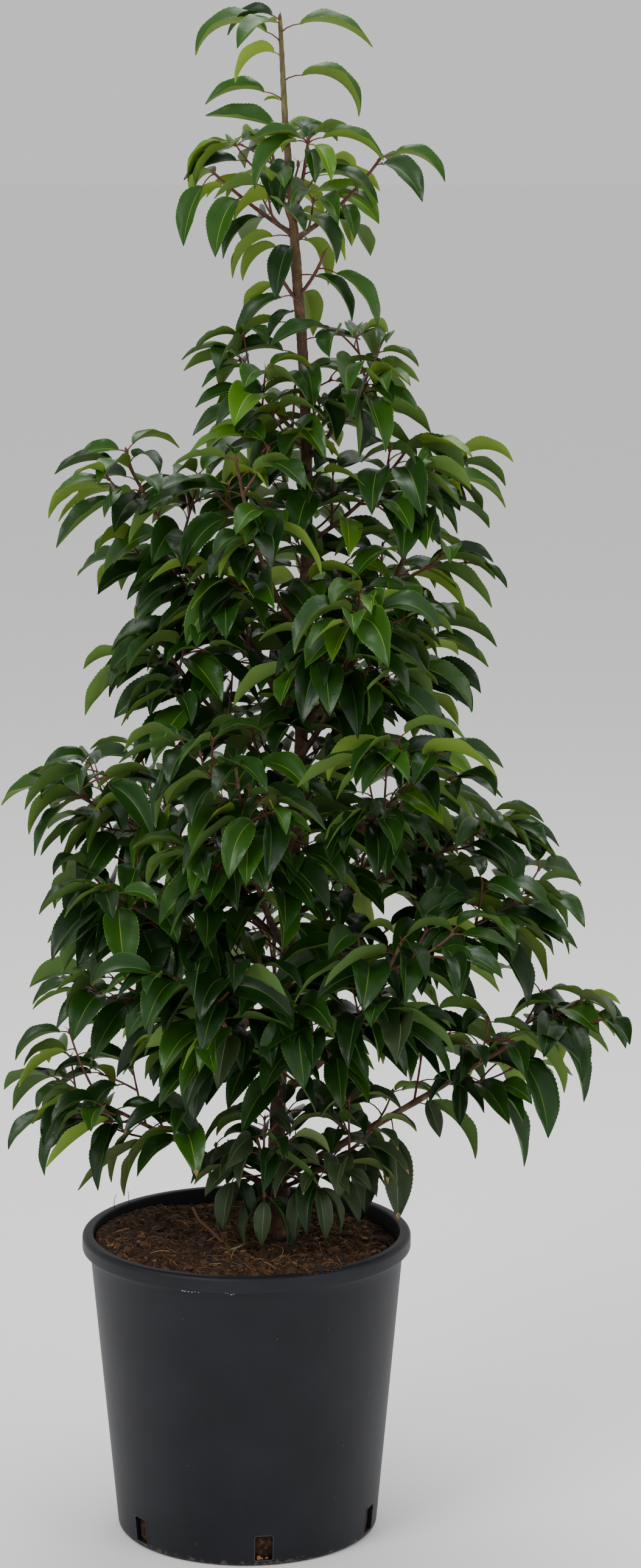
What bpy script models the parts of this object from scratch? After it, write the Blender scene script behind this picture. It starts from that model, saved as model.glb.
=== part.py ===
"""A potted Portuguese laurel: nursery pot, compost, trunk, boughs and masses of foliage.

Metres, +Z up. The origin is the middle of the pot's flat underside, and -Y is the plant's front.
"""
import math
import random
from collections import namedtuple

import bmesh
import bpy
from mathutils import Matrix, Vector
from mathutils.bvhtree import BVHTree

# The clear gap between two pieces that meet.
GAP = 0.0003
UP = Vector((0.0, 0.0, 1.0))

# Nursery pot, a moulded tub of 28 cm across the rim.
POT_HEIGHT = 0.260
RIM_RADIUS = 0.140
FOOT_RADIUS = 0.1115
UNDER_RADIUS = 0.107
FOOT_ROUND = 0.005
WALL = 0.0030
FLOOR = 0.0040
LIP_HEIGHT = 0.014
LIP_OUT = 0.0065
LIP_ROUND = 0.004
POT_SIDES = 48

# Six drain holes round the foot of the wall.
HOLE_COUNT = 6
HOLE_WIDTH = 0.015
HOLE_LOW = 0.0055
HOLE_HIGH = 0.0275
HOLE_CUT = 0.030
HOLE_FIRST = math.radians(-82.0)

# Compost: its level at the trunk, and how far it dips towards the wall at the back right.
COMPOST_LEVEL = 0.2460
COMPOST_DIP = 0.0080
COMPOST_RINGS = (0.35, 0.70, 1.0)
DIP_TOWARDS = math.radians(50.0)
DIP_FROM = 0.030
DIP_OVER = 0.090
DIP_LEAST = 0.35

# Trunk: where its axis runs and how thick it is, from the flare on the compost to its top fork.
Station = namedtuple("Station", "height x y radius")
TRUNK = (
    Station(0.2463, 0.0230, 0.035, 0.0150),
    Station(0.2600, 0.0235, 0.035, 0.0105),
    Station(0.2900, 0.0245, 0.035, 0.0086),
    Station(0.3700, 0.0270, 0.033, 0.0065),
    Station(0.5450, 0.0380, 0.030, 0.0059),
    Station(0.7350, 0.0490, 0.025, 0.0053),
    Station(0.9400, 0.0510, 0.020, 0.0047),
    Station(1.0900, 0.0420, 0.020, 0.0040),
    Station(1.1950, 0.0340, 0.020, 0.0026),
)
TRUNK_RINGS = 28
TRUNK_SIDES = 10
RING_CROWDING = 1.35

# Limbs. Each starts on the trunk at a height, heads off at an azimuth (0 is +X, -90 is the front),
# and its tip lies at a reach out from there and a rise above it. A bend over 0.5 goes out first and
# then up. Bare is the share of it that is a leafless bough; 0 stands for a spray straight on the trunk.
Limb = namedtuple("Limb", "name height azimuth reach rise bend bare shoots leaf droop")
LIMBS = (
    Limb("leader", 1.195, 195, 0.004, 0.078, 0.50, 0.00, 0, 0.066, 1.3),
    Limb("crown_left", 1.100, -168, 0.066, 0.050, 0.55, 0.30, 2, 0.060, 1.6),
    Limb("crown_right", 1.096, -12, 0.070, 0.064, 0.60, 0.30, 2, 0.062, 1.5),
    Limb("crown_front", 1.110, -72, 0.040, 0.066, 0.60, 0.00, 1, 0.060, 1.8),
    Limb("crown_back", 1.105, 110, 0.052, 0.060, 0.60, 0.00, 2, 0.062, 1.6),
    Limb("collar_left", 1.045, -140, 0.024, 0.030, 0.60, 0.00, 1, 0.062, 2.6),
    Limb("collar_right", 1.050, -30, 0.024, 0.034, 0.60, 0.00, 1, 0.062, 2.3),
    Limb("upper_left", 0.930, -155, 0.052, 0.062, 0.60, 0.00, 3, 0.066, 2.2),
    Limb("upper_right", 0.915, -28, 0.066, 0.090, 0.60, 0.00, 4, 0.066, 1.8),
    Limb("shoulder_right", 0.845, -8, 0.084, 0.080, 0.60, 0.00, 3, 0.068, 2.0),
    Limb("shoulder_back", 0.845, 110, 0.092, 0.100, 0.62, 0.00, 3, 0.068, 2.0),
    Limb("mast_left", 0.765, -125, 0.096, 0.156, 0.68, 0.30, 5, 0.068, 2.0),
    Limb("arm_left", 0.697, -166, 0.146, 0.216, 0.56, 0.34, 4, 0.066, 2.1),
    Limb("arm_right", 0.687, -15, 0.114, 0.226, 0.64, 0.34, 5, 0.066, 2.2),
    Limb("waist_front", 0.665, -66, 0.126, 0.150, 0.66, 0.30, 5, 0.070, 2.1),
    Limb("flank_left", 0.720, -178, 0.086, 0.098, 0.60, 0.00, 3, 0.068, 2.0),
    Limb("waist_left", 0.640, -172, 0.112, 0.120, 0.60, 0.30, 5, 0.070, 2.3),
    Limb("waist_right", 0.635, 14, 0.112, 0.145, 0.64, 0.30, 4, 0.070, 2.2),
    Limb("waist_back", 0.640, 88, 0.132, 0.150, 0.62, 0.30, 4, 0.070, 2.1),
    Limb("reach_left", 0.556, -168, 0.192, 0.088, 0.58, 0.32, 5, 0.066, 2.4),
    Limb("side_right", 0.560, -46, 0.162, 0.124, 0.60, 0.34, 5, 0.070, 2.3),
    Limb("belly_front", 0.497, -104, 0.165, 0.185, 0.68, 0.30, 6, 0.072, 2.2),
    Limb("reach_right", 0.529, -3, 0.170, 0.078, 0.58, 0.34, 5, 0.068, 2.4),
    Limb("hip_left", 0.465, -146, 0.178, 0.108, 0.56, 0.30, 5, 0.072, 2.6),
    Limb("hip_right", 0.449, -16, 0.214, 0.108, 0.56, 0.36, 5, 0.070, 2.6),
    Limb("hip_back_left", 0.500, 136, 0.175, 0.115, 0.60, 0.34, 4, 0.072, 2.2),
    Limb("hip_back_right", 0.490, 50, 0.175, 0.128, 0.60, 0.34, 4, 0.072, 2.2),
    Limb("lap_right", 0.369, -56, 0.182, 0.168, 0.62, 0.30, 5, 0.072, 2.6),
    Limb("lap_left", 0.380, -112, 0.170, 0.134, 0.62, 0.30, 6, 0.072, 2.4),
    Limb("flank_low", 0.405, -160, 0.148, 0.078, 0.58, 0.00, 4, 0.068, 2.6),
    Limb("back_low", 0.370, 92, 0.182, 0.112, 0.58, 0.36, 4, 0.072, 2.4),
    Limb("low_right", 0.293, -13, 0.258, 0.170, 0.52, 0.42, 5, 0.070, 2.8),
    Limb("low_left", 0.285, -160, 0.178, 0.104, 0.50, 0.38, 5, 0.070, 3.0),
    Limb("foot_front", 0.300, -102, 0.072, 0.050, 0.66, 0.00, 4, 0.070, 4.0),
    Limb("foot_right", 0.285, -40, 0.106, 0.070, 0.60, 0.00, 3, 0.074, 4.6),
)
# The leader's own leaves: share of the way up it, azimuth, length and droop.
LEADER_LEAVES = (
    (0.13, 182, 0.062, 1.0),
    (0.37, 8, 0.080, 2.0),
    (0.59, 150, 0.062, 2.4),
    (0.75, -176, 0.078, 1.5),
    (0.88, -5, 0.080, 1.2),
    (0.93, -140, 0.068, 1.7),
    (0.995, 158, 0.056, 1.2),
)
LEADER_LEAF_LIFT = 0.6
LEADER_LEAF_ROLL = math.radians(32.0)
LIMB_TIP_RADIUS = 0.0012
LIMB_SWELL = 0.0085
LIMB_TAPER = 0.9
BOUGH_SIDES = 6
BOUGH_RINGS = 5
STEM_SIDES = 5
STEM_RINGS = 4

# Side shoots of a spray.
TURN = math.radians(137.5)
SEED = 100
SHOOT_SPREAD = math.radians(52.0)
SHOOT_LIFT = 0.65
SHOOT_LOWEST = -0.1
SHOOT_SHARE = 0.38
SHOOT_FIRST = 0.12
SHOOT_OFFSET = 0.35
SHOOT_SHORTEST = 0.034
SHOOT_LONGEST = 0.078
SHOOT_RADIUS = 0.0012
SHOOT_SIDES = 3
SHOOT_RINGS = 2

# Leaves, a little larger and fewer than the live ones.
LEAF_SPACING = 0.034
LEAF_FIRST_ON_BOUGH = 0.006
LEAF_FIRST_ON_TRUNK = 0.022
LEAF_FIRST_ON_SHOOT = 0.35
LEAF_LAST = 0.995
LEAF_TURN = math.radians(144.0)
LEAF_NUDGES = (0.0, 0.7, -0.7, 1.5, -1.5)
LEAF_SPREAD = math.radians(56.0)
LEAF_SPREAD_LAST = math.radians(45.0)
LEAF_ENLARGED = 1.30
LEAF_SIZES = (0.88, 1.08)
LEAF_WIDTH = 0.48
LEAF_WIDEST = 0.42
LEAF_DROOPS = (0.42, 0.88)
LEAF_FLATTEN = 0.6
LEAF_LIFT = 0.36
LEAF_THICKNESS = 0.0022
LEAF_FOLD = 0.0035
LEAF_SINK = 0.0022
LEAF_ROLL = math.radians(24.0)
LEAF_MARGIN = 0.0012
COMPOST_CLEAR = 0.004
RIM_CLEAR = 0.012
RIM_BAND = 0.025
# Colour of a mass: younger and lighter higher up.
FOLIAGE_COLOURS = ((0.90, "4a6d26"), (0.75, "3c5f22"), (0.20, "2c4a20"), (-1.0, "2a3f22"))


# Materials

def colour(hexadecimal):
    """Linear colour of an sRGB hex value."""
    channels = [int(hexadecimal[i:i + 2], 16) / 255 for i in (0, 2, 4)]
    linear = [c / 12.92 if c <= 0.04045 else ((c + 0.055) / 1.055) ** 2.4 for c in channels]
    return (*linear, 1.0)


def paint(obj, hexadecimal, roughness):
    """Give an object its own material."""
    material = bpy.data.materials.new(obj.name + "_finish")
    material.use_nodes = True
    shader = material.node_tree.nodes["Principled BSDF"]
    shader.inputs["Base Color"].default_value = colour(hexadecimal)
    shader.inputs["Roughness"].default_value = roughness
    shader.inputs["Metallic"].default_value = 0.0
    material.diffuse_color = colour(hexadecimal)
    obj.data.materials.clear()
    obj.data.materials.append(material)


# Mesh tools

def make_object(name, points, faces):
    """A named object of one closed mesh with its faces pointing out."""
    mesh = bpy.data.meshes.new(name)
    mesh.from_pydata([tuple(p) for p in points], [], faces)
    work = bmesh.new()
    work.from_mesh(mesh)
    bmesh.ops.recalc_face_normals(work, faces=work.faces)
    work.to_mesh(mesh)
    work.free()
    obj = bpy.data.objects.new(name, mesh)
    bpy.context.scene.collection.objects.link(obj)
    return obj


def across(direction):
    """A unit vector square to a direction, level where it can be."""
    side = direction.cross(UP)
    if side.length < 0.05:
        side = direction.cross(Vector((0.0, 1.0, 0.0)))
    return side.normalized()


def tangents(path):
    """Unit direction of a path at each of its points."""
    ends = [(path[max(i - 1, 0)], path[min(i + 1, len(path) - 1)]) for i in range(len(path))]
    return [(b - a).normalized() for a, b in ends]


def frames(path):
    """Tangent, side and normal at each point, carried along the path without twist."""
    result = []
    side = None
    for tangent in tangents(path):
        side = across(tangent) if side is None else (side - tangent * side.dot(tangent)).normalized()
        result.append((tangent, side, side.cross(tangent)))
    return result


def tube(path, radii, sides, seat=None):
    """Points and faces of a closed round limb. Seat moves each point of its foot to what carries it."""
    points, faces = [], []
    for centre, radius, (tangent, side, normal) in zip(path, radii, frames(path)):
        for k in range(sides):
            turn = 2 * math.pi * k / sides
            points.append(centre + (side * math.cos(turn) + normal * math.sin(turn)) * radius)
    foot, head = len(points), len(points) + 1
    points += [path[0].copy(), path[-1].copy()]
    if seat:
        direction = tangents(path)[0]
        for index in (*range(sides), foot):
            points[index] = seat(points[index], direction)
    last = (len(path) - 1) * sides
    for k in range(sides):
        after = (k + 1) % sides
        faces.append((foot, after, k))
        faces.append((head, last + k, last + after))
        for ring in range(0, last, sides):
            faces.append((ring + k, ring + after, ring + sides + after, ring + sides + k))
    return points, faces


def shade_smooth(obj, angle=math.radians(40)):
    obj.data.shade_smooth()
    obj.data.set_sharp_from_angle(angle=angle)


# Trunk

def hermite(values, knots, at):
    """Smooth value through the stations' values at a height."""
    i = max(k for k in range(len(knots) - 1) if knots[k] <= at or k == 0)
    slopes = []
    for j in (i, i + 1):
        low, high = max(j - 1, 0), min(j + 1, len(knots) - 1)
        slopes.append((values[high] - values[low]) / (knots[high] - knots[low]))
    span = knots[i + 1] - knots[i]
    t = (at - knots[i]) / span
    start = (2 * t ** 3 - 3 * t ** 2 + 1) * values[i] + (t ** 3 - 2 * t ** 2 + t) * span * slopes[0]
    end = (3 * t ** 2 - 2 * t ** 3) * values[i + 1] + (t ** 3 - t ** 2) * span * slopes[1]
    return start + end


def trunk_at(height):
    """Point on the trunk's axis and its radius at a height."""
    knots = [s.height for s in TRUNK]
    height = min(max(height, knots[0]), knots[-1])
    x, y, radius = (hermite([s[k] for s in TRUNK], knots, height) for k in (1, 2, 3))
    return Vector((x, y, height)), radius


def trunk_heights():
    """Heights of the rings: closer together on the flare."""
    low, high = TRUNK[0].height, TRUNK[-1].height
    return [low + (high - low) * (k / (TRUNK_RINGS - 1)) ** RING_CROWDING for k in range(TRUNK_RINGS)]


def build_trunk():
    path, radii = [], []
    for height in trunk_heights():
        centre, radius = trunk_at(height)
        path.append(centre)
        radii.append(radius)
    points, faces = tube(path, radii, TRUNK_SIDES)
    for index in (*range(TRUNK_SIDES), len(path) * TRUNK_SIDES):
        points[index].z = TRUNK[0].height
    trunk = make_object("trunk", points, faces)
    shade_smooth(trunk)
    paint(trunk, "4a3b30", 0.8)
    return points, faces


def seat_on_trunk(point, direction):
    """Move a point outward along a direction until it is just clear of the trunk."""
    low, high = 0.0, 0.08
    for _ in range(30):
        middle = (low + high) / 2
        place = point + direction * middle
        centre, radius = trunk_at(place.z)
        inside = (place - centre).length < radius + GAP
        low, high = (middle, high) if inside else (low, middle)
    return point + direction * high


# Pot and compost

def turned(name, profile, sides):
    """Turn a closed profile of (radius, height) about the Z axis."""
    points, faces = [], []
    rings = []
    for radius, height in profile:
        if radius == 0:
            rings.append([len(points)] * sides)
            points.append(Vector((0.0, 0.0, height)))
            continue
        rings.append(list(range(len(points), len(points) + sides)))
        for k in range(sides):
            turn = 2 * math.pi * k / sides
            points.append(Vector((radius * math.cos(turn), radius * math.sin(turn), height)))
    for ring, following in zip(rings, rings[1:]):
        for k in range(sides):
            after = (k + 1) % sides
            corners = (ring[k], ring[after], following[after], following[k])
            faces.append(tuple(dict.fromkeys(corners)))
    return make_object(name, points, faces)


def wall_radius(height):
    """Outer radius of the plain wall, which widens evenly from the foot to the lip."""
    top = RIM_RADIUS - LIP_OUT
    return FOOT_RADIUS + (top - FOOT_RADIUS) * (height - FOOT_ROUND) / (POT_HEIGHT - LIP_HEIGHT - FOOT_ROUND)


def inner_radius(height):
    """Radius of the pot's inside, which widens evenly from the floor to the rim."""
    foot, top = FOOT_RADIUS - WALL, RIM_RADIUS - LIP_OUT - WALL
    return foot + (top - foot) * (height - FLOOR) / (POT_HEIGHT - FLOOR)


def pot_profile():
    """Section of the pot, from the middle of its underside up the outside and down the inside."""
    lip_foot = POT_HEIGHT - LIP_HEIGHT
    corner = FOOT_RADIUS - FOOT_ROUND * 0.3
    outside = [(0, 0), (UNDER_RADIUS, 0), (corner, FOOT_ROUND * 0.3), (FOOT_RADIUS, FOOT_ROUND)]
    outside += [(wall_radius(lip_foot), lip_foot)]
    lip = [(RIM_RADIUS - 0.0012, lip_foot + 0.001), (RIM_RADIUS, lip_foot + LIP_ROUND)]
    lip += [(RIM_RADIUS, POT_HEIGHT - LIP_ROUND), (RIM_RADIUS - LIP_ROUND * 0.4, POT_HEIGHT - 0.001)]
    lip += [(RIM_RADIUS - LIP_ROUND, POT_HEIGHT), (inner_radius(POT_HEIGHT), POT_HEIGHT)]
    return outside + lip + [(inner_radius(FLOOR), FLOOR), (0, FLOOR)]


def build_pot():
    pot = turned("pot", pot_profile(), POT_SIDES)
    cutters = []
    for k in range(HOLE_COUNT):
        turn = HOLE_FIRST + 2 * math.pi * k / HOLE_COUNT
        bpy.ops.mesh.primitive_cube_add(size=1.0)
        cutter = bpy.context.object
        cutter.name = f"drain_cutter_{k}"
        cutter.scale = (HOLE_CUT, HOLE_WIDTH, HOLE_HIGH - HOLE_LOW)
        cutter.rotation_euler = (0.0, 0.0, turn)
        cutter.location = (FOOT_RADIUS * math.cos(turn), FOOT_RADIUS * math.sin(turn), (HOLE_HIGH + HOLE_LOW) / 2)
        cutters.append(cutter)
    join(pot, cutters, "DIFFERENCE", "EXACT")
    shade_smooth(pot)
    paint(pot, "2b2d31", 0.55)


def compost_height(x, y):
    """Height of the compost's top: level round the trunk, lower towards the wall at the back right."""
    centre, _ = trunk_at(TRUNK[0].height)
    away = math.hypot(x - centre.x, y - centre.y)
    share = min(max((away - DIP_FROM) / DIP_OVER, 0.0), 1.0)
    facing = DIP_LEAST + (1 - DIP_LEAST) * max(math.cos(math.atan2(y, x) - DIP_TOWARDS), 0.0)
    return COMPOST_LEVEL - COMPOST_DIP * facing * share * share


def build_compost():
    """What fills the pot: one solid with an uneven top."""
    foot = FLOOR + GAP
    rings = [[(inner_radius(foot) - GAP, foot)] * POT_SIDES]
    for share in reversed(COMPOST_RINGS):
        ring = []
        for k in range(POT_SIDES):
            turn = 2 * math.pi * k / POT_SIDES
            radius = inner_radius(COMPOST_LEVEL) * share
            height = compost_height(radius * math.cos(turn), radius * math.sin(turn))
            ring.append(((inner_radius(height) - GAP) * share, height))
        rings.append(ring)
    points, faces = [], []
    for ring in rings:
        for k, (radius, height) in enumerate(ring):
            turn = 2 * math.pi * k / POT_SIDES
            points.append(Vector((radius * math.cos(turn), radius * math.sin(turn), height)))
    under, top = len(points), len(points) + 1
    points += [Vector((0.0, 0.0, FLOOR + GAP)), Vector((0.0, 0.0, compost_height(0.0, 0.0)))]
    last = (len(rings) - 1) * POT_SIDES
    for k in range(POT_SIDES):
        after = (k + 1) % POT_SIDES
        faces.append((under, after, k))
        faces.append((top, last + k, last + after))
        for ring in range(0, last, POT_SIDES):
            faces.append((ring + k, ring + after, ring + POT_SIDES + after))
            faces.append((ring + k, ring + POT_SIDES + after, ring + POT_SIDES + k))
    compost = make_object("compost", points, faces)
    paint(compost, "3a2417", 0.95)


# Limbs and shoots

def curve(start, middle, end, count, first=0.0, last=1.0):
    """Points on a quadratic curve between two shares of it."""
    path = []
    for k in range(count + 1):
        t = first + (last - first) * k / count
        path.append(start * (1 - t) ** 2 + middle * 2 * t * (1 - t) + end * t ** 2)
    return path


def limb_controls(limb):
    """Start, bend point and tip of a limb."""
    start, _ = trunk_at(limb.height)
    azimuth = math.radians(limb.azimuth)
    out = Vector((math.cos(azimuth), math.sin(azimuth), 0.0)) * limb.reach
    rise = UP * limb.rise
    return start, start + out * limb.bend + rise * (1 - limb.bend), start + out + rise


def limb_radius(limb, t):
    """Radius of a limb at a share of its length: thicker where it has more to carry."""
    thickest = LIMB_TIP_RADIUS + LIMB_SWELL * math.hypot(limb.reach, limb.rise)
    return LIMB_TIP_RADIUS + (thickest - LIMB_TIP_RADIUS) * (1 - t) ** LIMB_TAPER


def stem_start(limb):
    """Where on a limb its spray's stem starts: on the trunk, or a gap beyond the bough's end."""
    if limb.bare == 0:
        return 0.0
    return limb.bare + GAP / math.hypot(limb.reach, limb.rise)


def shoot_paths(limb, rng):
    """Side shoots along a spray's stem, turned round it and shorter towards the tip."""
    start, middle, end = limb_controls(limb)
    first = max(stem_start(limb), SHOOT_FIRST)
    stem = math.hypot(limb.reach, limb.rise) * (1 - first)
    paths = []
    phase = rng.uniform(0, 2 * math.pi)
    for k in range(limb.shoots):
        along = first + (1 - first) * (k + SHOOT_OFFSET) / (limb.shoots + SHOOT_OFFSET)
        a, b = curve(start, middle, end, 1, along, along + 0.01)
        tangent = (b - a).normalized()
        side = across(tangent)
        turn = phase + k * TURN
        radial = side * math.cos(turn) + side.cross(tangent) * math.sin(turn)
        heading = tangent * math.cos(SHOOT_SPREAD) + radial * math.sin(SHOOT_SPREAD)
        length = stem * SHOOT_SHARE * (1.25 - 0.5 * along) * rng.uniform(0.85, 1.15)
        length = min(max(length, SHOOT_SHORTEST), SHOOT_LONGEST)
        heading.z = max(heading.z, SHOOT_LOWEST)
        finish = (heading + UP * SHOOT_LIFT).normalized()
        knee = a + heading.normalized() * length * 0.5
        paths.append(curve(a, knee, knee + finish * length * 0.5, SHOOT_RINGS))
    return paths


def point_along(path, distance):
    """Point and frame at a distance along a path."""
    for a, b, (tangent, side, normal) in zip(path, path[1:], frames(path)):
        step = (b - a).length
        if distance <= step:
            return a.lerp(b, distance / step), (b - a).normalized(), side, normal
        distance -= step
    tangent, side, normal = frames(path)[-1]
    return path[-1].copy(), tangent, side, normal


def path_length(path):
    return sum((b - a).length for a, b in zip(path, path[1:]))


# Leaves

def leaf_places(limb, path, first, rng):
    """Each leaf up a shoot: its root, the headings to try, its length, droop and roll."""
    length = path_length(path)
    count = max(round((length - first) / LEAF_SPACING), 1)
    phase = rng.uniform(0, 2 * math.pi)
    places = []
    for k in range(count + 1):
        distance = first + (length - first) * k / count * LEAF_LAST
        point, tangent, side, normal = point_along(path, distance)
        spread = LEAF_SPREAD_LAST if k == count else LEAF_SPREAD
        headings = []
        for nudge in LEAF_NUDGES:
            turn = phase + k * LEAF_TURN + nudge
            radial = side * math.cos(turn) + normal * math.sin(turn)
            heading = tangent * math.cos(spread) + radial * math.sin(spread)
            heading.z = heading.z * LEAF_FLATTEN + LEAF_LIFT
            headings.append(heading.normalized())
        size = limb.leaf * LEAF_ENLARGED * rng.uniform(*LEAF_SIZES)
        places.append((point, headings, size, limb.droop, rng.uniform(-1, 1) * LEAF_ROLL))
    return places


def leader_leaves(path):
    """The leaves that stand singly on the leader, in the same form."""
    places = []
    for share, azimuth, size, droop in LEADER_LEAVES:
        point, _, _, _ = point_along(path, path_length(path) * share)
        turn = math.radians(azimuth)
        heading = Vector((math.cos(turn), math.sin(turn), LEADER_LEAF_LIFT)).normalized()
        places.append((point, [heading], size, droop, LEADER_LEAF_ROLL * math.cos(turn)))
    return places


def leaf_solid(root, heading, length, droop, roll, grow=0.0):
    """Eight-faced arched leaf, folded along its midrib. Grow swells it for the test of its space."""
    drooped = (heading - UP * droop).normalized()
    middle_way, tip_way = (heading.lerp(drooped, share).normalized() for share in LEAF_DROOPS)
    middle = root + middle_way * length * LEAF_WIDEST
    tip = middle + tip_way * length * (1 - LEAF_WIDEST)
    along = (middle_way + tip_way).normalized()
    side = Matrix.Rotation(roll, 3, along) @ across(heading)
    normal = side.cross(along).normalized()
    half = side * (length * LEAF_WIDTH / 2 + grow)
    thick = normal * (LEAF_THICKNESS / 2 + grow)
    fold = normal * LEAF_FOLD
    points = [root - heading * LEAF_SINK, tip + tip_way * grow, middle + half + fold, middle - half + fold]
    points += [middle + thick, middle - thick]
    faces = [(0, 2, 4), (0, 4, 3), (0, 5, 2), (0, 3, 5), (1, 4, 2), (1, 3, 4), (1, 2, 5), (1, 5, 3)]
    return points, faces


class Space:
    """Solids placed so far, so that each new twig and leaf keeps to room that is free."""

    def __init__(self):
        self.taken = []

    def add(self, owner, points, faces):
        low, high = corners(points)
        tree = BVHTree.FromPolygons([tuple(p) for p in points], faces)
        self.taken.append((owner, low, high, tree))

    def is_free(self, wood, points, faces, outer):
        """Clear of all solids, apart from its own spray's wood, which only its outer faces must miss."""
        low, high = corners(points)
        whole = BVHTree.FromPolygons([tuple(p) for p in points], faces)
        part = BVHTree.FromPolygons([tuple(p) for p in points], outer) if outer else None
        for owner, other_low, other_high, tree in self.taken:
            if any(low[i] > other_high[i] or high[i] < other_low[i] for i in range(3)):
                continue
            mine = part if owner == wood else whole
            if mine and mine.overlap(tree):
                return False
        return True


def corners(points):
    return [min(p[i] for p in points) for i in range(3)], [max(p[i] for p in points) for i in range(3)]


def over_compost(points):
    """True where no point would reach into the compost or through the pot's rim."""
    for p in points:
        if p.z < COMPOST_LEVEL + COMPOST_CLEAR and math.hypot(p.x, p.y) < RIM_RADIUS + RIM_CLEAR:
            return False
        if p.z < POT_HEIGHT + COMPOST_CLEAR and math.hypot(p.x, p.y) > RIM_RADIUS - RIM_BAND:
            return False
    return True


def join(target, pieces, operation, solver):
    """Boolean of one object with a collection of pieces, applied, with the pieces then removed."""
    group = bpy.data.collections.new(target.name + "_pieces")
    bpy.context.scene.collection.children.link(group)
    for piece in pieces:
        for home in list(piece.users_collection):
            home.objects.unlink(piece)
        group.objects.link(piece)
    modifier = target.modifiers.new("join", "BOOLEAN")
    modifier.operation = operation
    modifier.operand_type = "COLLECTION"
    modifier.collection = group
    modifier.solver = solver
    evaluated = target.evaluated_get(bpy.context.evaluated_depsgraph_get())
    mesh = bpy.data.meshes.new_from_object(evaluated)
    target.modifiers.clear()
    old = target.data
    target.data = mesh
    bpy.data.meshes.remove(old)
    for piece in pieces:
        bpy.data.objects.remove(piece, do_unlink=True)
    bpy.data.collections.remove(group)
    keep_largest(mesh)


def keep_largest(mesh):
    """Keep the largest connected body: a loose scrap is dropped and a sealed hollow is filled."""
    work = bmesh.new()
    work.from_mesh(mesh)
    left = set(work.faces)
    bodies = []
    while left:
        body, edge = set(), [left.pop()]
        while edge:
            face = edge.pop()
            body.add(face)
            for side in face.edges:
                for beyond in side.link_faces:
                    if len(side.link_faces) == 2 and beyond in left:
                        left.remove(beyond)
                        edge.append(beyond)
        bodies.append(body)
    bodies.sort(key=len)
    scraps = [face for body in bodies[:-1] for face in body]
    bmesh.ops.delete(work, geom=scraps, context="FACES")
    bmesh.ops.triangulate(work, faces=work.faces)
    work.to_mesh(mesh)
    work.free()


def build_bough(limb, space):
    """The bare, tapering part of a limb, seated on the trunk."""
    path = curve(*limb_controls(limb), BOUGH_RINGS, 0.0, limb.bare)
    radii = [limb_radius(limb, limb.bare * k / BOUGH_RINGS) for k in range(BOUGH_RINGS + 1)]
    points, faces = tube(path, radii, BOUGH_SIDES, seat_on_trunk)
    bough = make_object("bough_" + limb.name, points, faces)
    shade_smooth(bough)
    paint(bough, "54402f", 0.75)
    space.add(limb.name + "_bough", points, faces)


def spray_stem(limb):
    """Path and radii of the stem that carries a spray."""
    first = stem_start(limb)
    path = curve(*limb_controls(limb), STEM_RINGS, first, 1.0)
    if limb.name == "leader":
        path = [p + UP * GAP for p in path]
    radii = [limb_radius(limb, first + (1 - first) * k / STEM_RINGS) for k in range(STEM_RINGS + 1)]
    return path, radii


def build_stem(limb, space):
    """The stem that a mass grows on, from its bough's end or from the trunk."""
    path, radii = spray_stem(limb)
    seat = seat_on_trunk if limb.bare == 0 and limb.name != "leader" else None
    points, faces = tube(path, radii, STEM_SIDES, seat)
    name = "foliage_" + limb.name
    space.add(name, points, faces)
    return make_object(name, points, faces)


def build_foliage(limb, stem, number, space):
    """One mass: its stem with side shoots and their leaves, fused into one solid."""
    rng = random.Random(2 * SEED + number)
    name = stem.name
    path, _ = spray_stem(limb)
    pieces = []
    if limb.name == "leader":
        leaves = leader_leaves(path)
    else:
        first = LEAF_FIRST_ON_BOUGH if limb.bare else LEAF_FIRST_ON_TRUNK
        leaves = leaf_places(limb, path, first, rng)
    for shoot in shoot_paths(limb, random.Random(SEED + number)):
        swollen, sides = tube(shoot, [SHOOT_RADIUS + LEAF_MARGIN] * len(shoot), SHOOT_SIDES)
        if not over_compost(shoot) or not space.is_free(name, swollen, sides, None):
            continue
        points, faces = tube(shoot, [SHOOT_RADIUS, SHOOT_RADIUS, SHOOT_RADIUS * 0.8], SHOOT_SIDES)
        pieces.append(make_object("shoot", points, faces))
        space.add(name, points, faces)
        leaves += leaf_places(limb, shoot, path_length(shoot) * LEAF_FIRST_ON_SHOOT, rng)
    for root, headings, length, droop, roll in leaves:
        for heading in headings:
            shape = (root, heading, length, droop, roll)
            swollen, sides = leaf_solid(*shape, grow=LEAF_MARGIN)
            if over_compost(swollen) and space.is_free(name, swollen, sides, sides[4:]):
                points, faces = leaf_solid(*shape)
                pieces.append(make_object("leaf", points, faces))
                space.add(name + "_leaf", points, faces)
                break
    join(stem, pieces, "UNION", "MANIFOLD")
    height = (limb.height - TRUNK[0].height) / (TRUNK[-1].height - TRUNK[0].height)
    paint(stem, next(tint for least, tint in FOLIAGE_COLOURS if height > least), 0.45)


def main():
    for obj in list(bpy.data.objects):
        bpy.data.objects.remove(obj, do_unlink=True)
    build_pot()
    build_compost()
    space = Space()
    space.add("trunk", *build_trunk())
    for limb in LIMBS:
        if limb.bare > 0:
            build_bough(limb, space)
    stems = [build_stem(limb, space) for limb in LIMBS]
    for number, (limb, stem) in enumerate(zip(LIMBS, stems)):
        build_foliage(limb, stem, number, space)


main()
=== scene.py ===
"""A potted Portuguese laurel: the looks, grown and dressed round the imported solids.

Metres, +Z up. The origin is the middle of the pot's flat underside, and -Y is the plant's front.
"""
import math
import random
from collections import namedtuple
from itertools import product

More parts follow.
